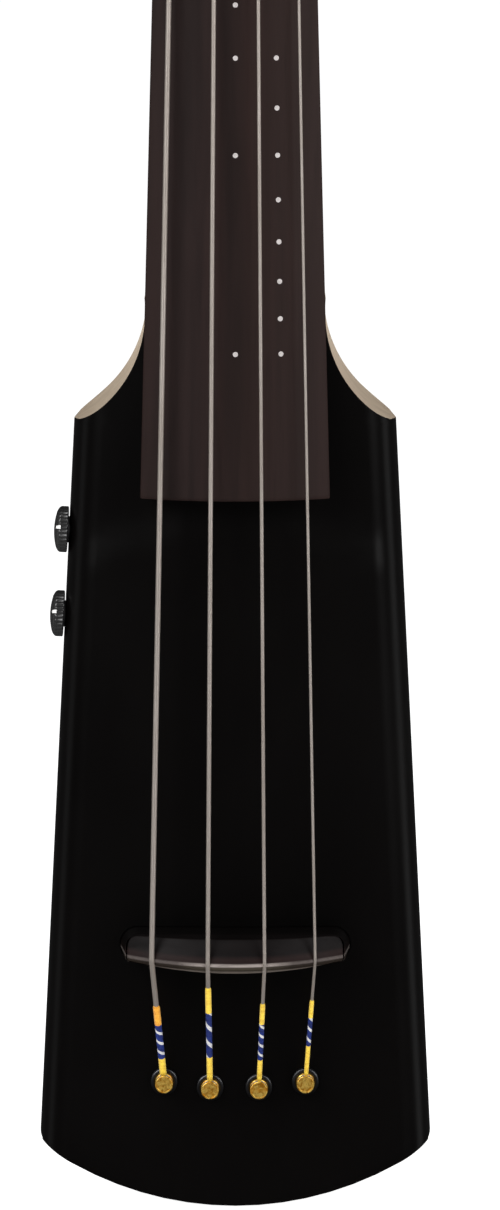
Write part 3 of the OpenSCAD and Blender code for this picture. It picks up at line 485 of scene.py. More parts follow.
def inset(outline, amount):
    """The outline moved inwards by an amount, along the normals at its points."""
    ahead = np.roll(outline, -1, axis=0) - outline
    ahead /= np.linalg.norm(ahead, axis=1)[:, None]
    behind = np.roll(ahead, 1, axis=0)
    tangent = ahead + behind
    scale = 2 / np.maximum((tangent ** 2).sum(axis=1), 0.5)
    area = np.sum(outline[:, 0] * np.roll(outline[:, 1], -1) - np.roll(outline[:, 0], -1) * outline[:, 1])
    normal = np.column_stack((-tangent[:, 1], tangent[:, 0])) * math.copysign(1, area)
    return outline + amount * normal * scale[:, None]


def slab(outline, low, high, edge=0.0, place="xz", steps=4):
    """A plate with rounded edges, from low to high across the plane that place names."""
    angles = [k * math.pi / 2 / steps for k in range(steps + 1)] if edge else [math.pi / 2]
    levels = [(low + edge * (1 - math.cos(a)), edge * (1 - math.sin(a))) for a in angles]
    levels += [(high - edge * (1 - math.cos(a)), edge * (1 - math.sin(a))) for a in reversed(angles)]
    rings = []
    for height, amount in levels:
        flat = inset(outline, amount) if amount else outline
        across = np.full(len(flat), height)
        if place == "xz":
            rings.append(np.column_stack((flat[:, 0], across, flat[:, 1])))
        else:
            rings.append(np.column_stack((across, flat[:, 0], flat[:, 1])))
    return loft(rings)


def grid_faces(rows, cols):
    return [(r * cols + c, r * cols + c + 1, (r + 1) * cols + c + 1, (r + 1) * cols + c)
            for r in range(rows - 1) for c in range(cols - 1)]


def grid_rim(rows, cols):
    """Places of a grid's outer points, in order round it."""
    rim = [(0, c) for c in range(cols)] + [(r, cols - 1) for r in range(1, rows)]
    return rim + [(rows - 1, c) for c in range(cols - 2, -1, -1)] + [(r, 0) for r in range(rows - 2, 0, -1)]


def joined(*solids):
    """Several meshes as one list of points and faces."""
    points, faces, count = [], [], 0
    for some_points, some_faces in solids:
        points.append(np.asarray(some_points))
        faces += [tuple(i + count for i in face) for face in some_faces]
        count += len(some_points)
    return np.concatenate(points), faces


def mesh_object(name, solid, looks, face_looks=None):
    mesh = bpy.data.meshes.new(name)
    mesh.from_pydata([tuple(p) for p in solid[0]], [], solid[1])
    for look in looks:
        mesh.materials.append(look)
    if face_looks is not None:
        mesh.polygons.foreach_set("material_index", face_looks)
    clean(mesh)
    obj = bpy.data.objects.new(name, mesh)
    scene.collection.objects.link(obj)
    return obj


def clean(mesh, reach=1e-6):
    """Welds doubled points, drops faces without area and turns all normals outwards."""
    bm = bmesh.new()
    bm.from_mesh(mesh)
    bmesh.ops.remove_doubles(bm, verts=bm.verts, dist=reach)
    bmesh.ops.dissolve_degenerate(bm, edges=bm.edges, dist=reach / 2)
    bmesh.ops.recalc_face_normals(bm, faces=bm.faces)
    bm.to_mesh(mesh)
    bm.free()


def shade(obj, crease=32):
    mesh = obj.data
    mesh.polygons.foreach_set("use_smooth", [True] * len(mesh.polygons))
    mesh.set_sharp_from_angle(angle=math.radians(crease))


def cut(obj, solid, look, operation="DIFFERENCE"):
    """Cuts a solid away from an object, or joins it on. New faces take the look."""
    tool = mesh_object("tool", solid, [look])
    modifier = obj.modifiers.new("cut", "BOOLEAN")
    modifier.operation = operation
    modifier.solver = "EXACT"
    modifier.use_self = True
    modifier.material_mode = "TRANSFER"
    modifier.object = tool
    result = bpy.data.meshes.new_from_object(obj.evaluated_get(bpy.context.evaluated_depsgraph_get()))
    obj.modifiers.clear()
    obj.data = result
    bpy.data.objects.remove(tool)


def settle(obj, body, slot, *nodes, crease=32):
    """Shades a finished piece, hangs it on its body and lets it stand for its CAD nodes."""
    shade(obj, crease)
    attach(obj, body)
    if nodes:
        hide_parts(*nodes)
    return obj


def piece(name, solid, body, slot, *nodes, look=None, crease=32):
    obj = mesh_object(name, solid, [look or LOOKS[slot]])
    return settle(obj, body, slot, *nodes, crease=crease)


# ---------------------------------------------------------------- camera, light and floor
def make_camera():
    """Camera half a metre up, three metres before the bass; the shift keeps the lower body in the frame."""
    data = bpy.data.cameras.new("camera")
    data.sensor_width = 36
    data.lens = 193.8
    data.shift_y = -0.28
    camera = bpy.data.objects.new("camera", data)
    camera.location = (6.7 * MM, -2.960, 0.503)
    camera.rotation_euler = (math.radians(90 - 4.92), 0, 0)
    scene.collection.objects.link(camera)
    scene.camera = camera


def area_light(name, place, target, width, height, power):
    data = bpy.data.lights.new(name, "AREA")
    data.shape = "RECTANGLE"
    data.size, data.size_y = width, height
    data.energy = power
    light = bpy.data.objects.new(name, data)
    light.location = place
    light.rotation_euler = (Vector(target) - Vector(place)).to_track_quat("-Z", "Y").to_euler()
    scene.collection.objects.link(light)


def make_studio():
    world = bpy.data.worlds.new("studio")
    world.use_nodes = True
    tree = world.node_tree
    fill = tree.nodes["Background"]
    fill.inputs["Color"].default_value = (1, 1, 1, 1)
    fill.inputs["Strength"].default_value = 0.035
    seen = tree.nodes.new("ShaderNodeBackground")
    seen.inputs["Color"].default_value = (1, 1, 1, 1)
    seen.inputs["Strength"].default_value = 1.0
    path = tree.nodes.new("ShaderNodeLightPath")
    mix = tree.nodes.new("ShaderNodeMixShader")
    tree.links.new(path.outputs["Is Camera Ray"], mix.inputs["Fac"])
    tree.links.new(fill.outputs["Background"], mix.inputs[1])
    tree.links.new(seen.outputs["Background"], mix.inputs[2])
    tree.links.new(mix.outputs["Shader"], tree.nodes["World Output"].inputs["Surface"])
    scene.world = world

    area_light("key", (-1.9, -2.4, 1.9), (0, 0, 0.1), 2.2, 2.2, 80)
    area_light("fill_right", (2.2, -2.0, 1.5), (0, 0, 0.1), 1.8, 2.2, 55)
    area_light("edge_left", (-1.4, 0.25, 0.3), (0, -0.03, 0.1), 0.5, 2.2, 0.8)
    area_light("edge_right", (1.4, 0.25, 0.3), (0, -0.03, 0.1), 0.5, 2.2, 1.8)

    floor_z = bottom_z - 1 * MM
    wide = 30.0
    floor = mesh_object("floor", ([(-wide, -wide, floor_z), (wide, -wide, floor_z), (wide, wide, floor_z),
                                   (-wide, wide, floor_z)], [(0, 1, 2, 3)]), [STUDIO_WHITE])
    shader = STUDIO_WHITE.node_tree.nodes["Principled BSDF"]
    shader.inputs["Emission Color"].default_value = (1, 1, 1, 1)
    shader.inputs["Emission Strength"].default_value = 1.0
    floor.visible_glossy = False
    scene.view_settings.view_transform = "Standard"


make_camera()
make_studio()


# ---------------------------------------------------------------- body
def wall_x(z):
    return shoulder_hw + (shoulder_z - z) * wall_slope


def half_width(z):
    """Half the width of the outline: sides, softened bottom corners and scoops."""
    soft_r, soft_up = 5 * MM, 3.2 * MM
    low = np.clip(corner_z + soft_up - z, 0, soft_up)
    side = wall_x(z) - (soft_r - np.sqrt(soft_r ** 2 - low ** 2))
    reach = np.sqrt(np.maximum(scoop_r ** 2 - (z - scoop_z) ** 2, 0))
    return np.where(reach > 0, np.minimum(side, scoop_x - reach), side)


def bottom_arc(x):
    return bottom_axis_z - np.sqrt(bottom_r ** 2 - x ** 2)


def body_depths(x, z):
    """Front and back of the body at a point of its outline's plane."""
    width = wall_x(z)
    crown = x ** 2 / (2 * crown_r)
    u = np.clip((np.abs(x) - (width - side_round)) / side_round, 0, 1)
    fall = 1 - np.sqrt(1 - u ** 2)
    front = front_y + crown + (body_t / 2 - width ** 2 / (2 * crown_r)) * fall
    back = -body_t / 2 * fall
    to_bottom = bottom_r - np.hypot(x, z - bottom_axis_z)
    to_scoop = np.hypot(np.abs(x) - scoop_x, z - scoop_z) - scoop_r
    r = np.minimum(edge_r, 0.45 * (back - front))
    inside = np.clip(r - np.minimum(to_bottom, to_scoop), 0, r)
    round_off = r - np.sqrt(np.maximum(r ** 2 - inside ** 2, 0))
    return front + round_off, back - round_off


def smooth_step(t):
    t = np.clip(t, 0, 1)
    return t * t * (3 - 2 * t)


def body_grid():
    """Columns from side to side and rows from the bottom curve to the heel, as x and z."""
    insets = side_round * (1 - np.cos(np.linspace(0, math.pi / 2, 15)))
    shares = np.linspace(-1, 1, 15)[1:-1]
    meet = shoulder_z
    for _ in range(30):
        meet = scoop_z - math.sqrt(max(scoop_r ** 2 - (scoop_x - wall_x(meet)) ** 2, 0))
    near = np.array([0, 0.1, 0.3, 0.6, 1.0, 1.5, 2.2, 3.2, 4.5, 6, 8, 11, 15, 20, 27]) * MM
    levels = np.concatenate((corner_z + near, np.arange(corner_z + 0.035, meet - 0.006, 0.008),
                             [meet - 0.004, meet - 0.001, meet], np.linspace(meet, heel_z, 42)[1:]))
    lift = 1 - smooth_step((levels - corner_z - 0.006) / 0.14)
    columns = [(-1, d, None) for d in insets] + [(0, 0, s) for s in shares]
    columns += [(1, d, None) for d in insets[::-1]]
    xs = np.zeros((len(levels), len(columns)))
    zs = np.zeros_like(xs)
    for c, (side, reach, share) in enumerate(columns):
        z = levels.copy()
        for _ in range(10):
            width = half_width(z)
            x = side * (width - reach) if share is None else share * (width - side_round)
            z = levels + lift * (bottom_arc(x) - corner_z)
        xs[:, c], zs[:, c] = x, z
    return xs, zs, meet


def lean_scoops(points, meet):
    """Leans the scoops, whose front edges lie lower than their back edges. Fades out below and above them."""
    z = points[:, 2]
    fade_low, fade_high = 20 * MM, 12 * MM
    weight = smooth_step((z - meet + fade_low) / fade_low)
    weight = weight * (1 - smooth_step((z - heel_z + fade_high) / fade_high))
    points[:, 2] = z + scoop_lean * (points[:, 1] - wall_y) * weight
    return points


def body_shell():
    xs, zs, meet = body_grid()
    rows, cols = xs.shape
    front, back = body_depths(xs, zs)
    faces, looks = [], []
    for r in range(rows - 1):
        for c in range(cols - 1):
            a = r * cols + c
            faces.append((a, a + 1, a + cols + 1, a + cols))
            faces.append(tuple(i + rows * cols for i in (a, a + cols, a + cols + 1, a + 1)))
            looks += [0, 0]
    points = [np.column_stack((xs.ravel(), front.ravel(), zs.ravel())),
              np.column_stack((xs.ravel(), back.ravel(), zs.ravel()))]
    rim = grid_rim(rows, cols)
    rim_x = np.array([xs[i] for i in rim])
    rim_z = np.array([zs[i] for i in rim])
    rim_front = np.array([front[i] for i in rim])
    rim_back = np.array([back[i] for i in rim])
    steps = 8
    rings = [np.column_stack((rim_x, rim_front + (rim_back - rim_front) * k / steps, rim_z))
             for k in range(steps + 1)]
    wall_points, wall_faces = loft(rings, caps=False)
    start = 2 * rows * cols
    faces += [tuple(i + start for i in face) for face in wall_faces]
    bare = (rim_z + np.roll(rim_z, -1)) / 2 > meet
    looks += [int(bare[k]) for _ in range(steps) for k in range(len(rim))]
    return (lean_scoops(np.concatenate(points + [wall_points]), meet), faces), looks


def cavity_outline(lip):
    """Outline of the control cavity, grown by a lip."""
    low, top, right, reach = mm(62, 153, -18, 20)
    return [(-wall_x(low - lip) + reach - lip, low - lip), (right + lip, low - lip),
            (right + lip, top + lip), (-wall_x(top + lip) + reach - lip, top + lip)]


def make_body():
    solid, looks = body_shell()
    body = mesh_object("body_shell", solid, [LOOKS["black_lacquer"], BARE_MAPLE], looks)
    behind = 1 * MM
    jack_x, jack_z, jack_hw = mm(-48, 22, 19)
    square = [(jack_x + dx * jack_hw, jack_z + dz * jack_hw) for dx, dz in CORNERS]
    stand = [(dx * 27 * MM, dz * 25 * MM) for dx, dz in CORNERS]
    foot = rounded([(dx * (bridge_hw + 0.3 * MM), bridge_mid_z + dz * (bridge_t / 2 + 0.3 * MM))
                    for dx, dz in CORNERS], 8.29 * MM, 12)
    foot = np.array([point for a, b in zip(foot, np.roll(foot, -1, axis=0))
                     for point in np.linspace(a, b, 2 + int(np.linalg.norm(b - a) / (4 * MM)))[:-1]])
    belly_axis = bridge_mid_z - bridge_t / 2 + belly_r
    foot[:, 1] = np.maximum(foot[:, 1], belly_axis - np.sqrt((belly_r + 0.3 * MM) ** 2 - foot[:, 0] ** 2))
    recesses = [slab(rounded(cavity_outline(5 * MM), 3 * MM), -2.2 * MM, behind),
                slab(rounded(cavity_outline(0), 3 * MM), -40 * MM, behind),
                slab(rounded(square, 2 * MM), -2 * MM, behind),
                slab(circle(jack_x, jack_z, 11 * MM), -38 * MM, behind),
                slab(rounded(stand, 2 * MM), -4 * MM, behind),
                slab(circle(0, 0, 11.1 * MM), -28 * MM, behind),
                slab(foot, front_y - behind, bridge_floor)]
    for side in (-1, 1):
        recesses.append(slab(circle(side * 43 * MM, bridge_mid_z, 5.2 * MM), -24 * MM, behind))
    for x, z in zip(anchor_x, anchor_z):
        recesses.append(slab(circle(x, z, 6.25 * MM), front_y - behind, front_y + 1.5 * MM))
    cut(body, joined(*recesses), LOOKS["black_lacquer"])
    return settle(body, "instrument", "black_lacquer", "body", crease=30)


make_body()


# ---------------------------------------------------------------- neck, board and nut
def board_top(z):
    return board_end_y + (z - board_z) * (board_nut_y - board_end_y) / (nut_z - board_z)


def board_half(z):
    low_hw, nut_hw = board_high.x, 21 * MM
    return nut_hw + (low_hw - nut_hw) * (nut_z - z) / (nut_z - board_z)


def eased(keys, value):
    """Smooth values between keys: each key is a height followed by numbers."""
    keys = np.array(keys, float)
    heights, numbers = keys[:, 0], keys[:, 1:]
    slopes = np.gradient(numbers, heights, axis=0)
    i = int(np.clip(np.searchsorted(heights, value) - 1, 0, len(heights) - 2))
    span = heights[i + 1] - heights[i]
    t = (value - heights[i]) / span
    chord = (numbers[i + 1] - numbers[i]) / span
    first = np.where(slopes[i] * chord > 0, np.clip(slopes[i], -3 * abs(chord), 3 * abs(chord)), 0)
    last = np.where(slopes[i + 1] * chord > 0, np.clip(slopes[i + 1], -3 * abs(chord), 3 * abs(chord)), 0)
    return (numbers[i] * (2 * t ** 3 - 3 * t ** 2 + 1) + first * span * (t ** 3 - 2 * t ** 2 + t)
            + numbers[i + 1] * (3 * t ** 2 - 2 * t ** 3) + last * span * (t ** 3 - t ** 2))


def neck_ring(z, width, depth, squareness):
    turn = np.linspace(0, math.pi, 49)
    x = width / 2 * np.sign(np.cos(turn)) * np.abs(np.cos(turn)) ** squareness
    y = glue_y + depth * np.maximum(np.sin(turn), 0) ** squareness
    return np.column_stack((x, y, np.full(len(turn), z)))


def make_neck():
    heel_top = 295 * MM
    heel_mid = (heel_z + heel_top) / 2
    deep = body_t + (front_y - glue_y)
    keys = [(heel_z, 80.8 * MM, deep - 3 * MM, 0.35),
            (heel_z + 14 * MM, 2 * board_half(heel_z + 14 * MM), deep - 8 * MM, 0.4),
            (heel_mid, 2 * board_half(heel_mid), 0.7 * deep, 0.5),
            (heel_top, 2 * board_half(heel_top), 33 * MM, 0.7),
            (nut_z - 30 * MM, 2 * board_half(nut_z - 30 * MM), 24 * MM, 0.7),
            (nut_z - 6 * MM, 2 * board_half(nut_z - 6 * MM) + 1 * MM, 29 * MM, 0.5),
            (nut_z + 12 * MM, 52 * MM, 33.5 * MM, 0.35)]
    levels = np.concatenate((np.linspace(heel_z, heel_top, 24), np.linspace(heel_top, nut_z - 30 * MM, 40)[1:],
                             np.linspace(nut_z - 30 * MM, nut_z + 12 * MM, 20)[1:]))
    shaft = loft([neck_ring(z, *eased(keys, z)) for z in levels])
    neck = mesh_object("neck_shaft", shaft, [LOOKS["natural_maple"]])

    head_hw, head_top, back_y, face_y = 28.5 * MM, neck_top, -22 * MM, glue_y - 4 * MM
    nut_hw = 22 * MM
    side = [(head_hw, nut_z + 17 * MM), (head_hw, nut_z + 155 * MM), (head_hw - 5 * MM, nut_z + 185 * MM),
            (12 * MM, head_top - 2 * MM), (0, head_top)]
    corners = [(nut_hw, nut_z - 1 * MM)] + side + [(-x, z) for x, z in reversed(side[:-1])]
    corners.append((-nut_hw, nut_z - 1 * MM))
    radii = mm(1, 30, 60, 14, 16, 40, 16, 14, 60, 30, 1)
    head = slab(rounded(corners, radii, 10), face_y, back_y, 2 * MM)
    cut(neck, head, LOOKS["natural_maple"], "UNION")

    slot_low, slot_top, slot_hw, slot_floor = nut_z + 9 * MM, nut_z + 162 * MM, 19 * MM, -29 * MM
    slot_corners = [(-slot_hw, slot_low), (slot_hw, slot_low), (slot_hw, slot_top), (-slot_hw, slot_top)]
    slot_outline = rounded(slot_corners, mm(1.5, 1.5, 8, 8), 8)
    shelf = rounded([(-60 * MM, nut_z - 9 * MM), (60 * MM, nut_z - 9 * MM), (60 * MM, nut_z + 7 * MM),
                     (-60 * MM, nut_z + 7 * MM)], 0.1 * MM, 1)
    tools = [slab(slot_outline, face_y - 1 * MM, slot_floor),
             slab(inset(slot_outline, -1.2 * MM), face_y - 1 * MM, face_y + 0.6 * MM),
             slab(shelf, face_y - 1 * MM, glue_y)]
    for z in roller_z:
        tools.append(slab(circle(roller_y, z, 4.06 * MM), -30 * MM, 30 * MM, place="yz"))
    cut(neck, joined(*tools), LOOKS["natural_maple"])
    return settle(neck, "instrument", "natural_maple", "neck")


def board_ring(z, shrink):
    """A section of the board, shrunk evenly near its ends."""
    half = board_half(z) - shrink
    soft = 0.9 * MM
    top = board_top(z) + shrink
    drop = board_r - math.sqrt(board_r ** 2 - (half - soft) ** 2)
    lean = math.asin((half - soft) / board_r)
    corner_x, corner_y = half - soft, top + drop + soft
    right = [(corner_x + soft * math.cos(a), corner_y - soft * math.sin(a))
             for a in np.linspace(0, math.pi / 2 - lean, 6)]
    right = [(half, glue_y - shrink), (half, (glue_y + corner_y) / 2)] + right
    across = np.linspace(1, -1, 31) * (half - soft) * 0.98
    crown = [(x, top + board_r - math.sqrt(board_r ** 2 - x ** 2)) for x in across]
    flat = right + crown + [(-x, y) for x, y in reversed(right)]
    return np.array([(x, y, z) for x, y in flat])


def make_board():
    ends = [(0.0, 0.8), (0.1, 0.45), (0.3, 0.2), (0.8, 0.0)]
    levels = [(board_z + d * MM, s * MM) for d, s in ends]
    levels += [(z, 0.0) for z in np.linspace(board_z + 2 * MM, nut_z - 2 * MM, 90)]
    levels += [(nut_z - d * MM, s * MM) for d, s in reversed(ends)]
    rings = [board_ring(z, shrink) for z, shrink in levels]
    board = mesh_object("fingerboard_ebony", loft(rings), [LOOKS["ebony_board"]])
    return settle(board, "instrument", "ebony_board", "fingerboard", crease=40)


def make_dots():
    """Slightly domed pearl discs, let into the board."""
    scale_len, bridge_line = 1060 * MM, -50 * MM
    dot_r, proud = 1.15 * MM, 0.06 * MM
    places = [(n, 0.2 * MM) for n in (3, 5, 7, 9, 12, 16, 17, 19, 24)]
    places += [(17 + k, (18.4 + 0.3 * k) * MM) for k in range(8)]
    dots = []
    for n, x in places:
        z = bridge_line + scale_len / 2 ** (n / 12)
        y = board_top(z) + board_r - math.sqrt(board_r ** 2 - x ** 2)
        lean = math.asin(x / board_r)
        outward = (math.sin(lean), -math.cos(lean), 0)
        profile = [(0, -1.5 * MM), (dot_r, -1.5 * MM), (dot_r, 0.4 * proud), (0.9 * dot_r, 0.75 * proud),
                   (0.6 * dot_r, 0.95 * proud), (0, proud)]
        dots.append(lathe(profile, (x, y, z), outward, 32))
    return piece("pearl_dots", joined(*dots), "instrument", "pearl", "position_dots")


make_neck()
make_board()
make_dots()


# ---------------------------------------------------------------- bridge
def bridge_height(x, z):
    """The bridge's top at x and z: the first point from the front inside the leaning crown."""
    depth = np.array([7.0, 6.0, 5.75, 5.4, 0.75, 0.2, 0.0, 0.08, 0.3, 0.8, 2.0, 4.4, 8.0]) * MM
    above = np.array([17.0, 11.4, 10.6, 10.0, 1.2, 0.5, 0.0, -0.4, -1.0, -1.7, -2.4, -3.0, -4.0]) * MM
    turned = bridge_crown_r * math.cos(crown_lean)
    radius = turned - depth * math.cos(crown_lean) - above * math.sin(crown_lean)
    height = above * math.cos(crown_lean) - depth * math.sin(crown_lean)
    order = np.argsort(height)
    near, far = np.full(np.shape(x), -1 * MM), np.full(np.shape(x), 38 * MM)
    for _ in range(40):
        middle = (near + far) / 2
        forward = middle * math.cos(crown_lean) + (z - crest_z) * math.sin(crown_lean)
        upward = (z - crest_z) * math.cos(crown_lean) - middle * math.sin(crown_lean)
        inside = np.hypot(x, turned - forward) <= np.interp(upward, height[order], radius[order])
        near, far = np.where(inside, near, middle), np.where(inside, middle, far)
    return crest_y + far


def make_bridge():
    """A stadium footprint under an arched, faceted top with softened edges."""
    end_r = bridge_t / 2
    corner_power = 3.2
    straight = bridge_hw - end_r
    turn = np.linspace(0, math.pi / 2, 12)
    columns = np.concatenate((np.linspace(0, straight, 30)[:-1], straight + end_r * np.sin(turn)))
    columns = np.concatenate((-columns[::-1], columns[1:]))
    past = np.maximum(np.abs(columns) - straight, 0) / end_r
    foot_half = np.maximum(end_r * np.sqrt(np.maximum(1 - past ** 2, 0)), 0.02 * MM)
    half = np.maximum(end_r * np.maximum(1 - past ** corner_power, 0) ** (1 / corner_power), 0.02 * MM)
    foot_hw, top_hw = bridge_hw, bridge_hw - 3.5 * MM
    belly = belly_r - np.sqrt(belly_r ** 2 - columns ** 2)
    low, high = bridge_mid_z - np.maximum(np.minimum(half, end_r - belly), 0.02 * MM), bridge_mid_z + half
    foot_low = bridge_mid_z - np.maximum(np.minimum(foot_half, end_r - belly), 0.02 * MM)
    foot_high = bridge_mid_z + foot_half
    top_x = columns * top_hw / foot_hw
    crest = crest_z + crest_bow(top_x)
    edge = 0.5 * MM
    rim_share = np.minimum(1, (high - low) / (8 * edge))
    rim_steps = np.array([0, 0.04, 0.16, 0.4, 0.7, 1.0]) * edge
    offsets = np.array([-30, -20, -14, -10, -7, -5, -4, -3.4, -2.4, -1.7, -1.0, -0.4, 0, 0.5, 1.2, 2.5, 4, 6,
                        8, 10, 10.6, 11.4, 12.5]) * MM
    levels = [low + step * rim_share for step in rim_steps]
    margin = 1.1 * edge * rim_share
    levels += [np.clip(crest + offset, low + margin, high - margin) for offset in offsets]
    levels += [high - step * rim_share for step in rim_steps[::-1]]
    rows = []
    for z in levels:
        y = bridge_height(top_x, z)
        side_gap = np.minimum(np.minimum(z - low, high - z), foot_hw - np.abs(columns))
        inside = np.clip(edge - side_gap, 0, edge)
        y = y + edge - np.sqrt(edge ** 2 - inside ** 2)
        rows.append(np.column_stack((top_x, y, z)))
    top = np.array(rows)
    r_count, c_count = top.shape[:2]
    faces = grid_faces(r_count, c_count)
    rim = grid_rim(r_count, c_count)
    upper = np.array([top[i] for i in rim])
    share_up = np.array([(upper[k, 2] - low[c]) / (high[c] - low[c]) for k, (_, c) in enumerate(rim)])
    foot_z = np.array([foot_low[c] + u * (foot_high[c] - foot_low[c]) for u, (_, c) in zip(share_up, rim)])
    rings = []
    for share in np.linspace(0, 1, 9):
        y = upper[:, 1] + (bridge_floor - upper[:, 1]) * share
        spread = np.clip((y + 75 * MM) / (29 * MM), 0, 1)
        x = upper[:, 0] * (1 + (foot_hw / top_hw - 1) * spread)
        z = upper[:, 2] + (foot_z - upper[:, 2]) * spread
        rings.append(np.column_stack((x, y, z)))
    wall_points, wall_faces = loft(rings, caps=False)
    last = len(wall_points) - len(rim)
    wall_faces.append(tuple(range(last, len(wall_points))))
    solid = joined((top.reshape(-1, 3), faces), (wall_points, wall_faces))
    bridge = mesh_object("bridge_ebony", solid, [LOOKS["ebony_bridge"]])
    return settle(bridge, "instrument", "ebony_bridge", "bridge", crease=24)


make_bridge()


# ---------------------------------------------------------------- strings and their ends
def surface_y(x, z):
    return board_top(z) + board_r - math.sqrt(board_r ** 2 - x ** 2)


def string_points(i):
    """Drum, nut, bridge crest, the bend before the ball, and the end at the ball's waist."""
    r = string_r[i]
    drum = np.array((winding_x[i], roller_y - drum_r - r - 0.3 * MM, roller_z[i]))
    nut = np.array((nut_x[i], surface_y(nut_x[i], nut_z) - 1 * MM - r, nut_z + 3.5 * MM))
    lift = (bridge_crown_r + 0.4 * r) ** 2 - bridge_x[i] ** 2
    crest = np.array((bridge_x[i], crown_axis_y - math.sqrt(lift), crest_z + crest_bow(bridge_x[i])))
    ball = np.array((anchor_x[i], front_y - 4.5 * MM, anchor_z[i]))
    way = (crest - ball) * (1, 0, 1)
    way /= np.linalg.norm(way)
    return drum, nut, crest, ball + way * tail_reach, ball + way * (waist_r + 0.15 * MM)


def softened(corners, reach, steps=5):
    """A path through corner points, with each inner corner rounded over a reach."""
    path = [corners[0]]
    for before, corner, after in zip(corners, corners[1:], corners[2:]):
        start = corner + (before - corner) / np.linalg.norm(before - corner) * reach
        end = corner + (after - corner) / np.linalg.norm(after - corner) * reach
        path += [start * (1 - t) ** 2 + 2 * corner * t * (1 - t) + end * t ** 2
                 for t in np.linspace(0, 1, steps)]
    path.append(corners[-1])
    return np.array(path)


def make_string(i, letter):
    r = string_r[i]
    path = softened(string_points(i), 1.2 * MM)
    string = tube(path, [r] * len(path), 20)
    ball = np.array((anchor_x[i], front_y - 4.5 * MM, anchor_z[i]))
    turn = np.linspace(0, TAU, 33)[:-1]
    loop_r, wire_r = 3.5 * MM, 0.4 * MM
    rings = []
    bend = np.linspace(0, TAU, 9)[:-1]
    for a in turn:
        out = np.array((math.cos(a), 0, math.sin(a)))
        wire = np.outer(np.cos(bend), out) + np.outer(np.sin(bend), (0, 1, 0))
        rings.append(ball + out * loop_r + wire_r * wire)
    return piece("string_wound_" + letter, joined(string, loft(rings, loop=True)), "instrument", "wound_steel",
                 "string_" + letter)


def make_silk(i, letter):
    """Thread wrap below the bridge: plain ends and a blue middle with a white spiral."""
    _, _, crest, bend, tail = string_points(i)
    start, end = silk_span[i]
    bands, pitch = silk_blue[i], silk_pitch[i]
    wrapped = (end - start) * np.linalg.norm(bend - crest)
    corners = softened([crest + (bend - crest) * start, bend, bend + (tail - bend) * 0.86], 1.5 * MM)
    along = np.concatenate(([0], np.cumsum(np.linalg.norm(np.diff(corners, axis=0), axis=1))))
    length = along[-1]
    sides, rings_count = 40, 181
    share = np.linspace(0, 1, rings_count)
    path = np.column_stack([np.interp(share * length, along, corners[:, k]) for k in range(3)])
    radius = string_r[i] + silk_t
    taper = 0.04
    radii = [radius * (1 - 0.28 * max(0, 1 - min(s, 1 - s) / taper) ** 2) for s in share]
    points, faces = tube(path, radii, sides, twist=-TAU * length / pitch / (rings_count - 1))
    looks = []
    white_sides = 11
    for j in range(rings_count - 1):
        middle = (share[j] + share[j + 1]) / 2
        inside = bands[0] < middle * length / wrapped < bands[1]
        looks += [(2 if k < white_sides else 1) if inside else 0 for k in range(sides)]
    looks += [0, 0]
    upper = SILK_ORANGE if letter == "e" else LOOKS["silk"]
    looks = [3 if kind == 0 and n > len(looks) / 2 else kind for n, kind in enumerate(looks)]
    threads = [upper, SILK_BLUE, SILK_WHITE, LOOKS["silk"]]
    silk = mesh_object("silk_wrap_" + letter, (points, faces), threads, looks)
    return settle(silk, "instrument", "silk", "string_silks")


def make_ball(i, letter):
    """Turned brass spool with a blind bore: waist, two flanges, and a rim round a shallow rough face."""
    seat = front_y - 1 * MM
    flange, bore, tall = 4 * MM, 1.65 * MM, 7 * MM
    soft = 0.35 * MM
    profile = [(0, tall - 0.9 * MM), (bore, tall - 0.9 * MM), (bore, 0), (flange - soft, 0), (flange, soft),
               (flange, 1.6 * MM - soft), (flange - soft, 1.6 * MM), (waist_r, 1.9 * MM),
               (waist_r, tall - 1.9 * MM),
               (flange - soft, tall - 1.6 * MM), (flange, tall - 1.6 * MM + soft), (flange, tall - soft),
               (flange - 0.12 * MM, tall - 0.1 * MM), (flange - soft, tall),
               (flange - 0.6 * MM, tall - 0.05 * MM),
               (flange - 0.85 * MM, tall - 0.3 * MM), (2 * MM, tall - 0.4 * MM), (0.9 * MM, tall - 0.3 * MM),
               (0, tall - 0.34 * MM)]
    solid = lathe(profile, (anchor_x[i], seat, anchor_z[i]), (0, -1, 0), 72)
    return piece("ball_end_" + letter, solid, "instrument", "brass", "ball_ends", look=BALL_BRASS)


def make_anchor(i, letter):
    """Black ferrule let into the body: a raised ring, a cup for the ball and a pin."""
    x, z = anchor_x[i], anchor_z[i]
    seat = 1 * MM
    rim, cup, pin, shank = mm(6.2, 4.3, 1.6, 4)
    profile = [(0, -24 * MM), (shank, -24 * MM), (shank, -1.5 * MM), (rim, -1.5 * MM), (rim, 1.2 * MM),
               (rim - 0.25 * MM, 1.75 * MM), (rim - 0.8 * MM, 2 * MM), (cup + 0.35 * MM, 2 * MM),
               (cup + 0.05 * MM, 1.8 * MM), (cup, 1.5 * MM), (cup, seat), (pin, seat), (pin, 6.6 * MM),
               (pin - 0.3 * MM, 6.8 * MM), (0, 6.8 * MM)]
    solid = lathe(profile, (x, front_y, z), (0, -1, 0), 72)
    return piece("anchor_ferrule_" + letter, solid, "instrument", "black_steel", "string_anchors",
                 look=FERRULE_STEEL)


for number, name in enumerate("eadg"):
    make_string(number, name)
    make_silk(number, name)
    make_ball(number, name)
    make_anchor(number, name)


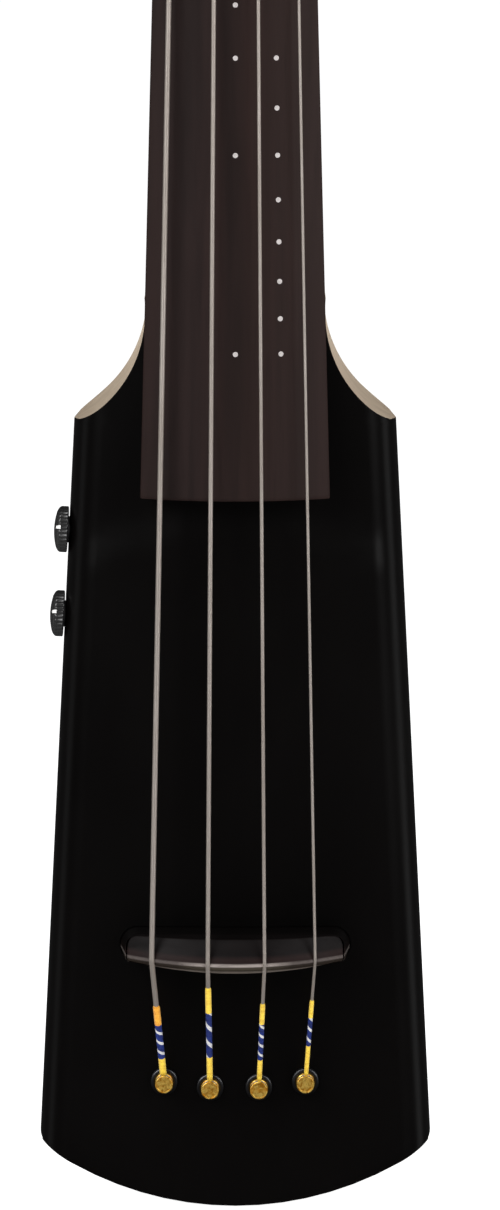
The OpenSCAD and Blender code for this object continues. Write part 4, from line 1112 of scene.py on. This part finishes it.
# ---------------------------------------------------------------- knobs
def make_knob(kind, z):
    """Fluted skirt under a dome, with a painted mark on the dome's outer ring."""
    axis = np.array((-math.cos(wall_tilt), 0, math.sin(wall_tilt)))
    centre = np.array((-wall_x(z), wall_y, z))
    front = np.array((0, -1.0, 0))
    up = np.cross(front, axis)
    sides, flutes = 192, 32
    turn = np.arange(sides) * TAU / sides
    rib = 0.5 + 0.5 * np.cos(turn * flutes)
    r = 10.5 * MM
    levels = [(0.5, 7.0, 0), (0.5, 9.9, 0), (0.6, 10.3, 0), (0.8, 10.5, 0.6), (1.0, 10.5, 1),
              (3.5, 10.5, 1), (3.8, 10.45, 0.8), (4.2, 10.25, 0.4), (4.6, 9.9, 0), (5.0, 9.4, 0), (5.4, 8.7, 0),
              (5.7, 7.9, 0), (6.0, 6.8, 0), (6.3, 5.4, 0), (6.55, 3.8, 0), (6.72, 2.0, 0), (6.8, 0.02, 0)]
    rings = []
    for height, radius, depth in levels:
        radii = radius * MM - 0.55 * MM * depth * (1 - rib) if radius > 1 else np.full(sides, radius * MM)
        rings.append(centre + axis * height * MM + radii[:, None] * (np.outer(np.cos(turn), front)
                                                                    + np.outer(np.sin(turn), up)))
    inner = [centre + axis * h * MM + q * MM * (np.outer(np.cos(turn), front) + np.outer(np.sin(turn), up))
             for h, q in ((3.0, 0.02), (3.0, 6.8), (0.5, 6.8))]
    knob = mesh_object(kind + "_knob_fluted", loft(inner + rings), [LOOKS["knob_black"]])
    settle(knob, kind + "_control", "knob_black", kind + "_knob", crease=38)

    a0 = math.radians(12) * (1 if up[2] > 0 else -1)
    half = 0.075
    path = [(3.7, 10.50), (4.2, 10.27), (4.6, 9.92), (5.0, 9.42), (5.4, 8.72), (5.7, 7.92)]
    rows = []
    for height, radius in path:
        rows.append([centre + axis * (height + 0.03) * MM + (radius + 0.02) * MM
                     * (math.cos(a0 + t) * front + math.sin(a0 + t) * up) for t in np.linspace(-half, half, 7)])
    sunk = [[p - axis * 0.25 * MM - (p - centre - axis * np.dot(p - centre, axis)) * 0.03 for p in row]
            for row in rows]
    rings = [list(a) + list(reversed(b)) for a, b in zip(rows, sunk)]
    mark = mesh_object(kind + "_knob_mark", loft(rings), [MARK_WHITE])
    return settle(mark, kind + "_control", "knob_black")


for name, height in zip(("volume", "tone"), knob_z):
    make_knob(name, height)


# ---------------------------------------------------------------- tuners
gear_x = 36.5 * MM
worm_drop = 15 * MM
worm_module = 1.1 * MM


def make_worm(i, letter):
    """Worm with a smooth trapezoid thread on its shaft."""
    pitch = math.pi * worm_module
    crest_r, root_r = 5.1 * MM, 2.603 * MM
    x, z = roller_side[i] * gear_x, roller_z[i] - worm_drop
    length, sides = 12 * MM, 48
    turn = np.arange(sides) * TAU / sides
    rings = []
    count = 150
    for j in range(count + 1):
        h = (j / count - 0.5) * length
        phase = h / pitch - turn / TAU
        d = np.abs(phase - np.round(phase)) * pitch
        r = np.interp(d, mm(0.20, 0.32, 0.80, 0.92),
                      [crest_r, crest_r - 0.15 * MM, root_r + 0.15 * MM, root_r])
        fade = np.clip((length / 2 - abs(h)) / (0.8 * MM), 0, 1)
        r = 2.2 * MM + (r - 2.2 * MM) * fade ** 0.5
        # The start angle matches the frame's worm: the thread's phase is zero towards +X at mid-length.
        y = np.full(sides, roller_y + h)
        rings.append(np.column_stack((x + r * np.sin(turn), y, z - r * np.cos(turn))))
    worm = loft(rings)
    shaft = lathe(mm((0, -12), (1.7, -12), (2, -11.7), (2, 40), (0, 40)), (x, roller_y, z), (0, 1, 0), 40)
    return piece("worm_thread_" + letter, joined(worm, shaft), "key_" + letter, "tuner_nickel",
                 "tuner_worm_" + letter)


def make_key(i, letter):
    """Butterfly key: two soft round lobes on a stem with a collar."""
    x, z = roller_side[i] * gear_x, roller_z[i] - worm_drop
    lobe = []
    for side in (1, -1):
        middle = side * 8.5 * MM
        sweep = np.linspace(-70, 130, 18) if side > 0 else np.linspace(230, 430, 18)
        lobe += [(9 * MM + 7 * MM * math.sin(math.radians(a)), middle + 7 * MM * math.cos(math.radians(a)))
                 for a in sweep]
    waist = mm((2.2, -3.4), (1.0, 0), (2.2, 3.4))
    outline = np.array(waist + [(y, w) for y, w in sorted_lobes(lobe)])
    plate = slab(outline + np.array((0, z)), x - 2.2 * MM, x + 2.2 * MM, 1.3 * MM, place="yz", steps=6)
    stem = lathe(mm((0, -20), (4.2, -20), (4.6, -19.6), (4.6, -16.4), (4.2, -16), (3.6, -15.6), (3.2, -8),
                    (2.9, -2), (3.0, 2), (2.4, 4), (0, 4.4)), (x, 0, z), (0, 1, 0), 48)
    return piece("key_wing_" + letter, joined(plate, stem), "key_" + letter, "tuner_nickel",
                 "tuner_key_" + letter)


def sorted_lobes(points):
    """Outline points in order round the middle of the key."""
    centre = np.array((7 * MM, 0))
    return sorted(points, key=lambda p: math.atan2(p[1] - centre[1], p[0] - centre[0]))


def make_winding(i, letter):
    """Turns of string lying side by side on the drum."""
    r = string_r[i]
    away = 1 if winding_x[i] < 0 else -1
    start = winding_x[i] + away * (2 * r + 0.3 * MM)
    turns, per_turn = 3, 48
    path = []
    for k in range(turns * per_turn + 1):
        a = k / per_turn * TAU
        shift = away * 1.96 * r * k / per_turn * (turns - 1) / turns
        reach = drum_r + r
        path.append((start + shift, roller_y - reach * math.cos(a), roller_z[i] + reach * math.sin(a)))
    radii = [r * min(1, 0.3 + k / 6, 0.3 + (len(path) - 1 - k) / 6) for k in range(len(path))]
    return piece("winding_turns_" + letter, tube(path, radii, 14), "drum_" + letter, "wound_steel",
                 "string_winding_" + letter)


for number, name in enumerate("eadg"):
    make_worm(number, name)
    make_key(number, name)
    make_winding(number, name)


# ---------------------------------------------------------------- finish of the CAD pieces that stay
SOFT_EDGES = {"control_cover": 0.35, "jack_plate": 0.35, "stand_plate": 0.5, "tuner_plates": 0.35, "nut": 0.5,
              "jack_nut": 0.25, "pot_nuts": 0.2}


def dress_frame():
    """Gives each CAD node that still shows its look, and breaks the edges of plates and nuts."""
    for name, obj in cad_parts.items():
        for slot in obj.material_slots:
            slot.material = LOOKS[slot.material.name.split(".")[0]]
        width = SOFT_EDGES.get(name)
        if width and not obj.hide_render:
            weld = obj.modifiers.new("weld", "WELD")
            weld.merge_threshold = 1e-6
            bevel = obj.modifiers.new("bevel", "BEVEL")
            bevel.width = width * MM
            bevel.segments = 3
            bevel.limit_method = "ANGLE"
            bevel.angle_limit = math.radians(40)
            bevel.harden_normals = True


dress_frame()
